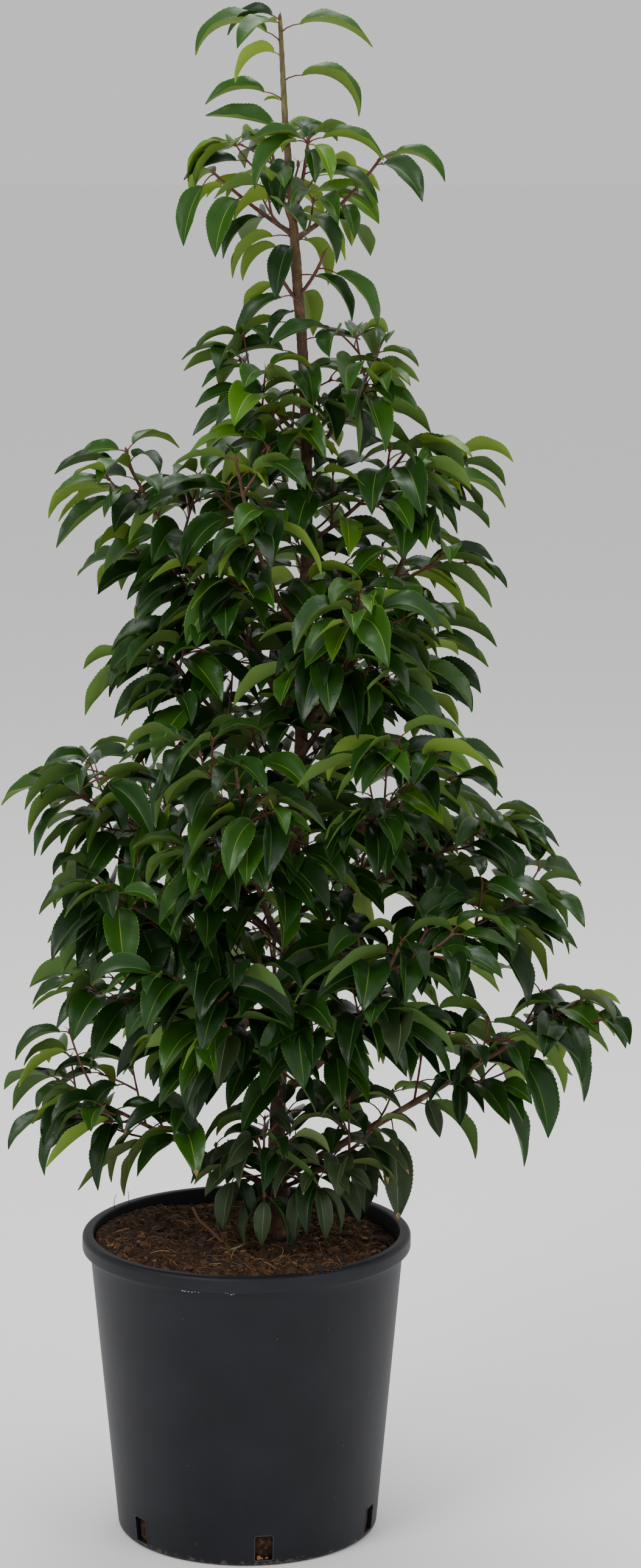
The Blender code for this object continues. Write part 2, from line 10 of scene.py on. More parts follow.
import bmesh
import bpy
import numpy as np
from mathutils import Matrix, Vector, noise


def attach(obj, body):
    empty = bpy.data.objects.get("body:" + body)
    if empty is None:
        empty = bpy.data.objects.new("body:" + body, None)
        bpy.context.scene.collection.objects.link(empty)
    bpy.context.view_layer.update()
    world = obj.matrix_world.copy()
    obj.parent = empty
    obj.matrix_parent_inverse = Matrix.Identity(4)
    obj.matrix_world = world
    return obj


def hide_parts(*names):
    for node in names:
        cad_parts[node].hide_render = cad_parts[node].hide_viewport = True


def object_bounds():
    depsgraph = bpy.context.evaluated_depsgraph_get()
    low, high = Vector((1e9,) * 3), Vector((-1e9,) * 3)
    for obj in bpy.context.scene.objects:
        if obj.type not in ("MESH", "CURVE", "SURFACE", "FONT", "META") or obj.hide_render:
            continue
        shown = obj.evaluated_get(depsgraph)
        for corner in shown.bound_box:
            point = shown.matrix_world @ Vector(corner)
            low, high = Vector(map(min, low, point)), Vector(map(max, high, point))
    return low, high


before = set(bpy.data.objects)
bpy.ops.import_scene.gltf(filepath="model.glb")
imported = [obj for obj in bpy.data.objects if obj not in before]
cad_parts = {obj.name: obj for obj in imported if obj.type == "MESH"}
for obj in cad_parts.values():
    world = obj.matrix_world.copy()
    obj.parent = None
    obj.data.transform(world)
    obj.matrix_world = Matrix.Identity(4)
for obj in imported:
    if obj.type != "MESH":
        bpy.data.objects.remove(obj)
cad_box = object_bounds()

MM = 0.001
UP = Vector((0.0, 0.0, 1.0))
SEED = 100

# Pot and compost, as in the solids.
POT_HEIGHT = 0.260
RIM_RADIUS = 0.140
FOOT_RADIUS = 0.1115
WALL = 0.0030
FLOOR = 0.0040
FOOT_ROUND = 0.005
LIP_HEIGHT = 0.014
LIP_OUT = 0.0065
LIP_ROUND = 0.0042
POT_SIDES = 180
HOLE_COUNT = 6
HOLE_WIDTH = 0.015
HOLE_LOW = 0.0055
HOLE_HIGH = 0.0275
HOLE_CORNER = 0.0016
HOLE_FIRST = math.radians(-82.0)
CUT_DEPTHS = (-0.012, 0.006)
FLASH_RADIUS = 0.00042
COMPOST_LEVEL = 0.2485
COMPOST_DIP = 0.0080
DIP_TOWARDS = math.radians(50.0)
DIP_FROM = 0.030
DIP_OVER = 0.090
BANK = 0.0060
BANK_TOWARDS = math.radians(196.0)
SPILL_TOWARDS = math.radians(-61.0)
COMPOST_SIDES = 260
COMPOST_RINGS = 92
# Gap to the wall and calmer edge of the top, and the root ball's side below it.
TOP_GAP = 0.0004
CALM_EDGE = 0.006
BALL_TOP = 0.225
BALL_RINGS = 14
BALL_GAP = 0.0006
BALL_ROUGH = 0.0012
LUMPS_A_METRE = 45
LUMP_RISE = 0.0040
CRUMBS_A_METRE = 240
CRUMB_RISE = 0.0022

# What lies on the compost: fibres and straws, crumbs and chips, and a few things set where they show.
FIBRE_COUNT = 1200
FIBRE_ABOVE = 0.0003
FIBRE_LENGTHS = (0.005, 0.020)
FIBRE_BEND = 1.3
FIBRE_RADII = (0.00010, 0.00024)
STRAW_COUNT = 46
STRAW_LENGTHS = (0.012, 0.022)
STRAW_RADII = (0.00025, 0.00045)
CRUMB_COUNT = 1500
CRUMB_SIZES = (0.0012, 0.0036)
SPILT_COUNT = 60
SPILT_SIZES = (0.0010, 0.0028)
FLECK_SIZES = (0.0010, 0.0022)
# Flat chips and larger lumps: number, distance from the wall, sizes, flatness and finishes.
STREWN = ((70, 0.004, (0.004, 0.008), 0.3, (1, 2, 3)), (150, 0.008, (0.005, 0.012), 0.7, (0, 0, 1)))
# Crumbs at the wall: azimuth, size and finish. Crumbs in the front hole: aside, height and size.
WALL_CRUMBS = ((-164, 0.0042, 3), (-160, 0.0030, 3), (-6, 0.0056, 2))
HOLE_CRUMBS = ((-0.0040, 0.0068, 0.0042), (-0.0012, 0.0062, 0.0030), (0.0030, 0.0064, 0.0026))
# Azimuths of the pale flecks of dust under the lip.
LIP_FLECKS = (-111.0, -110.2, -109.0, -107.6, -106.5, -105.4, -96.0, -95.2, -94.1, -93.3)
# A twig leaning in the compost, as x, y, height above it and radius, and a straw's three control points.
FALLEN_TWIG = ((-0.046, -0.004, 0.031, 0.0011), (-0.041, -0.004, 0.021, 0.0013),
               (-0.030, -0.003, 0.009, 0.0014), (-0.021, -0.001, 0.001, 0.0016))
LONG_STRAW = ((-0.001, -0.022, 0.004), (-0.010, -0.040, 0.005), (-0.012, -0.060, 0.001))
RIM_HAIRS = ((-0.1130, 0.0640, -0.006), (-0.1050, 0.0740, 0.002))
SCRAP = ((-0.0050, -0.0012, 0.0), (-0.0012, -0.0026, 0.0012), (0.0034, -0.0018, 0.0026),
         (0.0056, 0.0010, 0.0030), (0.0016, 0.0024, 0.0016), (-0.0030, 0.0018, 0.0004))
SCRAP_THICK = 0.0003
# A ball of twenty triangles, from which the crumbs are made.
GOLDEN = (1 + math.sqrt(5)) / 2
BALL_CORNERS = [corner[-k:] + corner[:-k] for k in range(3)
                for corner in ((-1, GOLDEN, 0), (1, GOLDEN, 0), (-1, -GOLDEN, 0), (1, -GOLDEN, 0))]
BALL_FACES = ((0, 11, 5), (0, 5, 1), (0, 1, 7), (0, 7, 10), (0, 10, 11), (1, 5, 9), (5, 11, 4), (11, 10, 2),
              (10, 7, 6), (7, 1, 8), (3, 9, 4), (3, 4, 2), (3, 2, 6), (3, 6, 8), (3, 8, 9), (4, 9, 5),
              (2, 4, 11), (6, 2, 10), (8, 6, 7), (9, 8, 1))

# Trunk: where its axis runs and how thick it is.
Station = namedtuple("Station", "height x y radius")
TRUNK = (
    Station(0.2463, 0.0230, 0.035, 0.0150),
    Station(0.2600, 0.0235, 0.035, 0.0105),
    Station(0.2900, 0.0245, 0.035, 0.0086),
    Station(0.3700, 0.0270, 0.033, 0.0065),
    Station(0.5450, 0.0380, 0.030, 0.0059),
    Station(0.7350, 0.0490, 0.025, 0.0053),
    Station(0.9400, 0.0510, 0.020, 0.0047),
    Station(1.0900, 0.0420, 0.020, 0.0040),
    Station(1.1950, 0.0340, 0.020, 0.0026),
)
MID_TRUNK = Vector((TRUNK[4].x, TRUNK[4].y, 0.0))
TRUNK_RINGS = 520
TRUNK_SIDES = 28
BOUGH_RINGS = 60
BOUGH_SIDES = 16
# Depth of the bark's fine relief, and of its long swellings.
TRUNK_RELIEF = (0.00035, 0.0007)
BOUGH_RELIEF = (0.00022, 0.0004)
# How far a bough's bark runs on past its bare part, and the collar at its foot.
BOUGH_PAST = 0.12
COLLAR_SWELL = 0.45
COLLAR_FROM = 0.005
COLLAR_FADE = 0.006
# The root flare, and the knuckle of an old cut shoot.
FLARE_HEIGHT = 0.022
FLARE_ROOTS = 5
FLARE_OUT = 0.0045
KNUCKLE_HEIGHT = 0.284
KNUCKLE_ASIDE = Vector((0.008, -0.004, 0.0))
KNUCKLE_REACH = 0.0075
KNUCKLE_OUT = 0.0045

# Limbs: height on the trunk, azimuth (0 is +X, -90 the front), reach, rise, bend, bare share, number of
# side shoots, length of a leaf, and how steeply the leaves hang.
Limb = namedtuple("Limb", "name height azimuth reach rise bend bare shoots leaf droop")
LIMBS = (
    Limb("leader", 1.195, 195, 0.004, 0.078, 0.50, 0.00, 0, 0.066, 1.3),
    Limb("crown_left", 1.100, -168, 0.066, 0.050, 0.55, 0.30, 2, 0.060, 1.6),
    Limb("crown_right", 1.096, -12, 0.070, 0.064, 0.60, 0.30, 2, 0.062, 1.5),
    Limb("crown_front", 1.110, -72, 0.040, 0.066, 0.60, 0.00, 1, 0.060, 1.8),
    Limb("crown_back", 1.105, 110, 0.052, 0.060, 0.60, 0.00, 2, 0.062, 1.6),
    Limb("collar_left", 1.045, -140, 0.024, 0.030, 0.60, 0.00, 1, 0.062, 2.6),
    Limb("collar_right", 1.050, -30, 0.024, 0.034, 0.60, 0.00, 1, 0.062, 2.3),
    Limb("upper_left", 0.930, -155, 0.052, 0.062, 0.60, 0.00, 3, 0.066, 2.2),
    Limb("upper_right", 0.915, -28, 0.066, 0.090, 0.60, 0.00, 4, 0.066, 1.8),
    Limb("shoulder_right", 0.845, -8, 0.084, 0.080, 0.60, 0.00, 3, 0.068, 2.0),
    Limb("shoulder_back", 0.845, 110, 0.092, 0.100, 0.62, 0.00, 3, 0.068, 2.0),
    Limb("mast_left", 0.765, -125, 0.096, 0.156, 0.68, 0.30, 5, 0.068, 2.0),
    Limb("arm_left", 0.697, -166, 0.146, 0.216, 0.56, 0.34, 4, 0.066, 2.1),
    Limb("arm_right", 0.687, -15, 0.114, 0.226, 0.64, 0.34, 5, 0.066, 2.2),
    Limb("waist_front", 0.665, -66, 0.126, 0.150, 0.66, 0.30, 5, 0.070, 2.1),
    Limb("flank_left", 0.720, -178, 0.086, 0.098, 0.60, 0.00, 3, 0.068, 2.0),
    Limb("waist_left", 0.640, -172, 0.112, 0.120, 0.60, 0.30, 5, 0.070, 2.3),
    Limb("waist_right", 0.635, 14, 0.112, 0.145, 0.64, 0.30, 4, 0.070, 2.2),
    Limb("waist_back", 0.640, 88, 0.132, 0.150, 0.62, 0.30, 4, 0.070, 2.1),
    Limb("reach_left", 0.556, -168, 0.192, 0.088, 0.58, 0.32, 5, 0.066, 2.4),
    Limb("side_right", 0.560, -46, 0.162, 0.124, 0.60, 0.34, 5, 0.070, 2.3),
    Limb("belly_front", 0.497, -104, 0.165, 0.185, 0.68, 0.30, 6, 0.072, 2.2),
    Limb("reach_right", 0.529, -3, 0.170, 0.078, 0.58, 0.34, 5, 0.068, 2.4),
    Limb("hip_left", 0.465, -146, 0.178, 0.108, 0.56, 0.30, 5, 0.072, 2.6),
    Limb("hip_right", 0.449, -16, 0.214, 0.108, 0.56, 0.36, 5, 0.070, 2.6),
    Limb("hip_back_left", 0.500, 136, 0.175, 0.115, 0.60, 0.34, 4, 0.072, 2.2),
    Limb("hip_back_right", 0.490, 50, 0.175, 0.128, 0.60, 0.34, 4, 0.072, 2.2),
    Limb("lap_right", 0.369, -56, 0.182, 0.168, 0.62, 0.30, 5, 0.072, 2.6),
    Limb("lap_left", 0.380, -112, 0.170, 0.134, 0.62, 0.30, 6, 0.072, 2.4),
    Limb("flank_low", 0.405, -160, 0.148, 0.078, 0.58, 0.00, 4, 0.068, 2.6),
    Limb("back_low", 0.370, 92, 0.182, 0.112, 0.58, 0.36, 4, 0.072, 2.4),
    Limb("low_right", 0.293, -13, 0.258, 0.170, 0.52, 0.42, 5, 0.070, 2.8),
    Limb("low_left", 0.285, -160, 0.178, 0.104, 0.50, 0.38, 5, 0.070, 3.0),
    Limb("foot_front", 0.300, -102, 0.072, 0.050, 0.66, 0.00, 4, 0.070, 4.0),
    Limb("foot_right", 0.285, -40, 0.106, 0.070, 0.60, 0.00, 3, 0.074, 4.6),
)
LIMB_TIP_RADIUS = 0.0012
LIMB_SWELL = 0.0085
LIMB_TAPER = 0.9
STEM_RINGS = 14

# Side shoots, by the same rule as in the solids, and finer twigs on them.
TURN = math.radians(137.5)
SHOOT_SPREAD = math.radians(52.0)
SHOOT_LIFT = 0.65
SHOOT_LOWEST = -0.1
SHOOT_SHARE = 0.38
SHOOT_FIRST = 0.12
SHOOT_OFFSET = 0.35
SHOOT_SHORTEST = 0.034
SHOOT_LONGEST = 0.078
SHOOT_FOOT = 0.00115
SHOOT_TIP = 0.00075
SHOOT_VARIES = (0.85, 1.15)
SHOOT_BARE = 0.22
SHOOT_RINGS = 8
TWIGLET_LENGTHS = (0.020, 0.036)
TWIGLET_FOOT = 0.0009
TWIGLET_RINGS = 5
TWIGLET_SEATS = (0.25, 0.7)
TWO_TWIGLETS = 0.055
# Buds, as shares of their length and radii at them, and their scales.
BUD_LENGTH = 0.0052
BUD = ((0.0, 0.0010), (0.3, 0.0014), (0.6, 0.0011), (0.85, 0.0006), (1.0, 0.00012))
SCALE_COUNTS = (0, 1, 1, 2)
SCALE_LENGTHS = (0.005, 0.010)
SCALE_RADII = (0.0006, 0.00045, 0.0003, 0.0001)

# Leaves along a shoot: their spacing and turn, and how far they keep from each other.
LEAF_SPACING = 0.0120
LEAF_TURN = math.radians(144.0)
LEAF_SPREAD = math.radians(60.0)
LEAF_OUTWARD = 0.32
LEAF_CLEAR = 0.0085
FIRST_LEAF = 0.010
STEM_SPARSE = 1.3
# How much further apart leaves stand on some limbs, by the first word of the name.
SPARSE = {"crown": 2.0, "upper": 1.25, "foot": 1.5, "low": 3.0}
FOOT_LEAF = 0.78
# How far a leaf may pass the solids' box at a side and at the top.
BOX_SLACK = 0.004
TOP_SLACK = 0.007

# Short leafy spurs on the trunk and on the bare boughs, which close the plant's inside.
SPUR_LOW = 0.33
SPUR_HIGH = 0.97
SPUR_EVERY = 0.018
SPUR_LENGTHS = (0.026, 0.052)
SPUR_FOOT = 0.0011
SPUR_RINGS = 6
SPUR_BARE = 0.35
# Where they sit on a bough, as a share of its bare part, and how far aside they turn from it.
SPUR_SHARES = ((0.45, -1.2), (0.78, 1.2))

# Shoots set one by one, on the trunk at a height or on a limb at a share of it: azimuth, reach and rise.
# The leafy ones grow leaves by the rule, and the rest carry the single leaves.
Shoot = namedtuple("Shoot", "name carrier place azimuth reach rise leafy")
SINGLE_SHOOTS = (
    Shoot("crown_high_left", "trunk", 1.128, 174, 0.046, 0.045, False),
    Shoot("crown_stub", "trunk", 1.138, -50, 0.010, 0.018, False),
    Shoot("foot_twig_left", "trunk", 0.300, -122, 0.064, 0.012, False),
    Shoot("foot_twig_front", "trunk", 0.296, -97, 0.074, 0.004, False),
    Shoot("foot_twig_right", "trunk", 0.302, -64, 0.078, 0.008, False),
    Shoot("low_left_rise", "low_left", 0.87, 172, 0.027, 0.060, False),
    Shoot("low_left_side", "low_left", 0.68, 190, 0.066, 0.008, False),
    Shoot("waist_left_out", "waist_left", 0.85, 178, 0.038, 0.006, True),
    Shoot("reach_right_out", "reach_right", 0.95, -10, 0.020, 0.006, True),
    Shoot("hip_left_up", "hip_left", 0.80, 176, 0.040, 0.030, True),
    Shoot("waist_left_low", "hip_back_left", 0.85, 205, 0.022, 0.060, True),
    Shoot("arm_left_up", "arm_left", 0.93, 150, 0.012, 0.026, True),
)
# Limbs whose leaves are all set singly.
SINGLY_LEAVED = ("crown_left", "crown_right", "crown_front", "collar_left", "collar_right")
# How deep in the trunk a leaf's stalk starts, in mm, and from what length in mm a dusty leaf is withered.
TRUNK_SEAT = 4
WITHERED_LENGTH = 60


# Colour and materials

RANGE = ("From Min", "From Max", "To Min", "To Max")
# The sockets of a mix of two colours, by number, since their names repeat.
MIX_SHARE = 0
MIX_BELOW = 6
MIX_ABOVE = 7
MIX_OUT = 2


def linear(hexadecimal):
    """Linear colour of an sRGB hex value."""
    channels = [int(hexadecimal[i:i + 2], 16) / 255 for i in (0, 2, 4)]
    return (*[c / 12.92 if c <= 0.04045 else ((c + 0.055) / 1.055) ** 2.4 for c in channels], 1.0)


class Finish:
    """A material with one Principled shader, and the patterns that feed it."""

    def __init__(self, name, hexadecimal, roughness, **settings):
        self.material = bpy.data.materials.new(name)
        self.material.use_nodes = True
        self.tree = self.material.node_tree
        self.sockets = self.tree.nodes["Principled BSDF"].inputs
        for key, value in {"Base_Color": linear(hexadecimal), "Roughness": roughness, **settings}.items():
            self.sockets[key.replace("_", " ")].default_value = value

    def add(self, kind, settings=None, links=None, stops=()):
        """Add a node with its settings, its links (a whole node gives its first output) and, for a colour
        ramp, its (position, hex) stops."""
        made = self.tree.nodes.new(kind)
        for key, value in (settings or {}).items():
            if hasattr(made, str(key)):
                setattr(made, key, value)
            else:
                made.inputs[key].default_value = value
        for key, source in (links or {}).items():
            self.link(source, made.inputs[key])
        if stops:
            elements = made.color_ramp.elements
            while len(elements) < len(stops):
                elements.new(0.5)
            for element, (position, hexadecimal) in zip(elements, stops):
                element.position = position
                element.color = linear(hexadecimal)
        return made

    def link(self, source, socket):
        self.tree.links.new(getattr(source, "outputs", [source])[0], socket)

    def mottle(self, place, size, detail, stops):
        """Colours dealt out by a noise whose patches have one size."""
        patches = self.add("ShaderNodeTexNoise", {"Scale": 1 / size, "Detail": detail}, {"Vector": place})
        return self.add("ShaderNodeValToRGB", links={"Fac": patches}, stops=stops)

    def specks(self, place, size, limits):
        """The share of small round specks that lie one size apart."""
        cells = self.add("ShaderNodeTexVoronoi", {"Scale": 1 / size}, {"Vector": place})
        return self.add("ShaderNodeMapRange", dict(zip(RANGE, limits)), {"Value": cells})

    def by_height(self, place, limits):
        """A share that runs between two heights."""
        height = self.add("ShaderNodeSeparateXYZ", links={"Vector": place}).outputs["Z"]
        return self.add("ShaderNodeMapRange", dict(zip(RANGE, limits)), {"Value": height})

    def laid_over(self, below, hexadecimal, share):
        """A plain colour laid over what is below it by a share."""
        mixed = self.add("ShaderNodeMix", {"data_type": "RGBA", MIX_ABOVE: linear(hexadecimal)},
                         {MIX_SHARE: share, MIX_BELOW: below})
        return mixed.outputs[MIX_OUT]

    def grain(self, place, size, detail, strength, depth):
        """A fine relief of one grain size, as the light shows it."""
        pattern = self.add("ShaderNodeTexNoise", {"Scale": 1 / size, "Detail": detail}, {"Vector": place})
        bump = self.add("ShaderNodeBump", {"Strength": strength, "Distance": depth}, {"Height": pattern})
        self.link(bump, self.sockets["Normal"])


# Leaf finishes: a waxy evergreen blade, glossy above and matt beneath. Each tone is one spray's green, from
# the soft young growth at the top to the old leaves near the pot, which are dull with dust.
Tone = namedtuple("Tone", "name upper margin rib under gloss")
# Underside colours: partly the blade's own paler underside, partly painted light shining through the thin
# leaf.
TONES = (
    Tone("young", "47700f", "6f8f22", "8ea23a", "7f9a35", 0.36),
    Tone("fresh", "2a5010", "4a7019", "6f8a30", "6c8732", 0.34),
    Tone("full", "1b3c0d", "335717", "587428", "567230", 0.33),
    Tone("deep", "122c0c", "274813", "466326", "445f2a", 0.34),
    Tone("dusty", "2c3b20", "4a5934", "64704a", "58663a", 0.50),
)
YOUNG, FRESH, FULL, DEEP, DUSTY = range(len(TONES))
LEAF_PARTS = ("upper", "margin", "rib", "under")
# Specular level of the waxy upper side, and roughness and level of the rib and the underside.
WAXY_SHINE = 0.36
MATT = (0.62, 0.20)


def leaf_finishes():
    """One plain colour for each part of the blade in each tone, and one for a withered tip. The blade is
    slightly puckered between its side veins, about 3 mm apart, which breaks up the gloss."""
    made = []
    for tone in TONES:
        for part in LEAF_PARTS:
            rough, shine = (tone.gloss, WAXY_SHINE) if part in ("upper", "margin") else MATT
            made.append(Finish(f"leaf_{tone.name}_{part}", getattr(tone, part), rough, IOR=1.45,
                               Specular_IOR_Level=shine))
            if part != "rib":
                place = made[-1].add("ShaderNodeTexCoord").outputs["Object"]
                made[-1].grain(place, 3.2 * MM, 2.5, 0.30, 0.5 * MM)
    return made + [Finish("leaf_withered_tip", "8a7152", 0.8, IOR=1.4)]


def olive_shoot_skin():
    """Skin of the leader: green turning to tan bark, with faint brown streaks along it."""
    skin = Finish("olive_shoot_skin", "6f6c38", 0.5, IOR=1.45)
    place = skin.add("ShaderNodeTexCoord").outputs["Object"]
    drawn = skin.add("ShaderNodeMapping", {"Scale": (1.0, 1.0, 0.15)}, {"Vector": place})
    streaks = skin.mottle(drawn, 1.5 * MM, 4.0, ((0.30, "4c3a22"), (0.50, "625a30"), (0.72, "7b7444")))
    skin.link(streaks, skin.sockets["Base Color"])
    return skin


def bark(name, dark, middle, pale, olive_from=3.0):
    """Thin laurel bark: patchy brown with pale breathing pores and fine cracks across the stem, and above a
    height, which by default is over the plant, the olive of young wood."""
    skin = Finish(name, middle, 0.78, IOR=1.45)
    place = skin.add("ShaderNodeTexCoord").outputs["Object"]
    patches = skin.mottle(place, 9 * MM, 5.0, ((0.30, dark), (0.52, middle), (0.72, pale)))
    youth = skin.by_height(place, (olive_from, olive_from + 0.22, 0.0, 0.75))
    aged = skin.laid_over(patches, "665436", youth)
    flat = skin.add("ShaderNodeMapping", {"Scale": (1.0, 1.0, 2.0)}, {"Vector": place})
    pores = skin.specks(flat, 3.6 * MM, (0.08, 0.24, 0.5, 0.0))
    skin.link(skin.laid_over(aged, "9c8468", pores), skin.sockets["Base Color"])
    skin.grain(place, 1.2 * MM, 6.0, 0.6, 0.5 * MM)
    return skin


def moist_peat():
    """Moist peat compost: nearly black crumbs with red-brown lights, quite without gloss."""
    peat = Finish("moist_peat", "2c1a10", 0.95, IOR=1.4)
    place = peat.add("ShaderNodeTexCoord").outputs["Object"]
    crumbs = peat.mottle(place, 4 * MM, 8.0,
                         ((0.32, "150b06"), (0.50, "33200f"), (0.62, "4f331d"), (0.78, "6f4e2e")))
    peat.link(crumbs, peat.sockets["Base Color"])
    peat.grain(place, 1.5 * MM, 8.0, 0.9, 1.5 * MM)
    return peat


def nursery_pot_plastic():
    """Moulded recycled polypropylene: charcoal with a breath of blue, a fine leathery grain, pale specks of
    dust, and tan scuffs where the foot has rubbed on the ground."""
    plastic = Finish("nursery_pot_plastic", "121418", 0.50, IOR=1.46, Specular_IOR_Level=0.27)
    place = plastic.add("ShaderNodeTexCoord").outputs["Object"]
    cloud = plastic.mottle(place, 60 * MM, 4.0, ((0.30, "111218"), (0.55, "16171d"), (0.75, "1b1c23")))
    dusted = plastic.laid_over(cloud, "a9a8a4", plastic.specks(place, 14 * MM, (0.012, 0.022, 0.75, 0.0)))
    low = plastic.by_height(place, (2 * MM, 7 * MM, 1.0, 0.0))
    rubbed = plastic.add("ShaderNodeTexNoise", {"Scale": 1 / (5 * MM), "Detail": 6.0}, {"Vector": place})
    patchy = plastic.add("ShaderNodeMapRange", dict(zip(RANGE, (0.50, 0.66, 0.0, 0.8))), {"Value": rubbed})
    scuff = plastic.add("ShaderNodeMath", {"operation": "MULTIPLY"}, {0: low, 1: patchy})
    plastic.link(plastic.laid_over(dusted, "665c50", scuff), plastic.sockets["Base Color"])
    plastic.grain(place, 0.9 * MM, 3.0, 0.35, 0.25 * MM)
    return plastic


# Mesh tools

NEARLY_UPRIGHT = 0.05


def stand(name, data):
    """A new object in the scene."""
    obj = bpy.data.objects.new(name, data)
    bpy.context.scene.collection.objects.link(obj)
    return obj


def piece_from(name, points, triangles, finishes, which=None, angle=50):
    """One mesh piece from arrays of points and triangles, smooth up to an angle in degrees."""
    mesh = bpy.data.meshes.new(name)
    points = np.asarray(points, np.float32)
    triangles = np.asarray(triangles, np.int32)
    mesh.vertices.add(len(points))
    mesh.vertices.foreach_set("co", points.ravel())
    mesh.loops.add(triangles.size)
    mesh.loops.foreach_set("vertex_index", triangles.ravel())
    mesh.polygons.add(len(triangles))
    mesh.polygons.foreach_set("loop_start", np.arange(0, triangles.size, 3, dtype=np.int32))
    for finish in finishes:
        mesh.materials.append(finish.material)
    if which is not None:
        mesh.polygons.foreach_set("material_index", np.asarray(which, np.int32))
    mesh.update(calc_edges=True)
    mesh.shade_smooth()
    mesh.set_sharp_from_angle(angle=math.radians(angle))
    return stand(name, mesh)


def closed_mesh(name, points, faces):
    """A closed mesh whose faces all look outwards."""
    mesh = bpy.data.meshes.new(name)
    mesh.from_pydata([tuple(p) for p in points], [], faces)
    work = bmesh.new()
    work.from_mesh(mesh)
    bmesh.ops.recalc_face_normals(work, faces=work.faces)
    work.to_mesh(mesh)
    work.free()
    return mesh


def dress(obj, slot, *nodes):
    """Ride on the plant's one body and hide the solids that the piece stands for. The slot is not used."""
    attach(obj, "root")
    if nodes:
        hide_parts(*nodes)


def pointing(turn, rise=0.0):
    """The unit vector at a turn about +Z and a rise from level."""
    return Vector((math.cos(rise) * math.cos(turn), math.cos(rise) * math.sin(turn), math.sin(rise)))


def across(direction):
    """A unit vector square to a direction, level where it can be."""
    side = direction.cross(UP)
    if side.length < NEARLY_UPRIGHT:
        side = direction.cross(Vector((0.0, 1.0, 0.0)))
    return side.normalized()


def around(axis, turn):
    """The unit vector square to an axis at a turn about it."""
    side = across(axis)
    return side * math.cos(turn) + side.cross(axis) * math.sin(turn)


def any_turn(rng):
    return rng.uniform(0, 2 * math.pi)


def path_frames(path):
    """Side and normal arrays along a path, carried without twist."""
    tangents = np.gradient(path, axis=0)
    tangents /= np.linalg.norm(tangents, axis=1)[:, None]
    side = np.array(across(Vector(tangents[0])))
    sides = []
    for tangent in tangents:
        side = side - tangent * side.dot(tangent)
        side /= np.linalg.norm(side)
        sides.append(side)
    sides = np.array(sides)
    return sides, np.cross(sides, tangents)


def tube(path, radii, sides):
    """Points and triangles of a closed round tube along a path, of one radius or one for each point. The
    last two points are the middles of its ends."""
    path = np.asarray(path)
    radii = np.broadcast_to(radii, len(path))
    side, normal = path_frames(path)
    turns = np.arange(sides) * 2 * math.pi / sides
    rings = (path[:, None] + (side[:, None] * np.cos(turns)[None, :, None]
             + normal[:, None] * np.sin(turns)[None, :, None]) * radii[:, None, None])
    faces = []
    count = len(path) * sides
    last = count - sides
    for k in range(sides):
        after = (k + 1) % sides
        faces.append((count, after, k))
        faces.append((count + 1, last + k, last + after))
        for ring in range(0, last, sides):
            faces.append((ring + k, ring + after, ring + sides + after))
            faces.append((ring + k, ring + sides + after, ring + sides + k))
    return np.concatenate([rings.reshape(-1, 3), path[:1], path[-1:]]), faces


class Batch:
    """Points, triangles and finishes of many small closed shapes that make one piece."""

    def __init__(self):
        self.points, self.triangles, self.which, self.count = [], [], [], 0

    def add(self, points, triangles, which=0):
        self.points.append(np.asarray(points, np.float64).reshape(-1, 3))
        self.triangles.append(np.asarray(triangles, np.int64) + self.count)
        self.which.append(np.full(len(triangles), which, np.int32))
        self.count += len(self.points[-1])

    def piece(self, name, finishes, angle=50):
        return piece_from(name, np.concatenate(self.points), np.concatenate(self.triangles), finishes,
                          np.concatenate(self.which), angle)


# Trunk and limbs

def trunk_at(height):
    """Point on the trunk's axis and its radius at a height."""
    knots = [s.height for s in TRUNK]
    at = min(max(height, knots[0]), knots[-1])
    i = max(k for k in range(len(knots) - 1) if knots[k] <= at or k == 0)
    span = knots[i + 1] - knots[i]
    t = (at - knots[i]) / span
    found = []
    for values in ([s.x for s in TRUNK], [s.y for s in TRUNK], [s.radius for s in TRUNK]):
        slopes = []
        for j in (i, i + 1):
            low, high = max(j - 1, 0), min(j + 1, len(knots) - 1)
            slopes.append((values[high] - values[low]) / (knots[high] - knots[low]))
        start = (2 * t ** 3 - 3 * t ** 2 + 1) * values[i] + (t ** 3 - 2 * t ** 2 + t) * span * slopes[0]
        end = (3 * t ** 2 - 2 * t ** 3) * values[i + 1] + (t ** 3 - t ** 2) * span * slopes[1]
        found.append(start + end)
    return Vector((found[0], found[1], at)), found[2]


def curve(start, middle, end, count, first=0.0, last=1.0):
    """Points on a quadratic curve between two shares of it."""
    shares = [first + (last - first) * k / count for k in range(count + 1)]
    return [start * (1 - t) ** 2 + middle * 2 * t * (1 - t) + end * t ** 2 for t in shares]


def limb_controls(limb):
    """Start, bend point and tip of a limb."""
    start, _ = trunk_at(limb.height)
    out = pointing(math.radians(limb.azimuth)) * limb.reach
    rise = UP * limb.rise
    return start, start + out * limb.bend + rise * (1 - limb.bend), start + out + rise


def limb_radius(limb, t):
    """Radius of a limb at a share of its length: thicker where it has more to carry."""
    thickest = LIMB_TIP_RADIUS + LIMB_SWELL * math.hypot(limb.reach, limb.rise)
    return LIMB_TIP_RADIUS + (thickest - LIMB_TIP_RADIUS) * (1 - t) ** LIMB_TAPER


def taper(first, last, count):
    return [first + (last - first) * k / count for k in range(count + 1)]


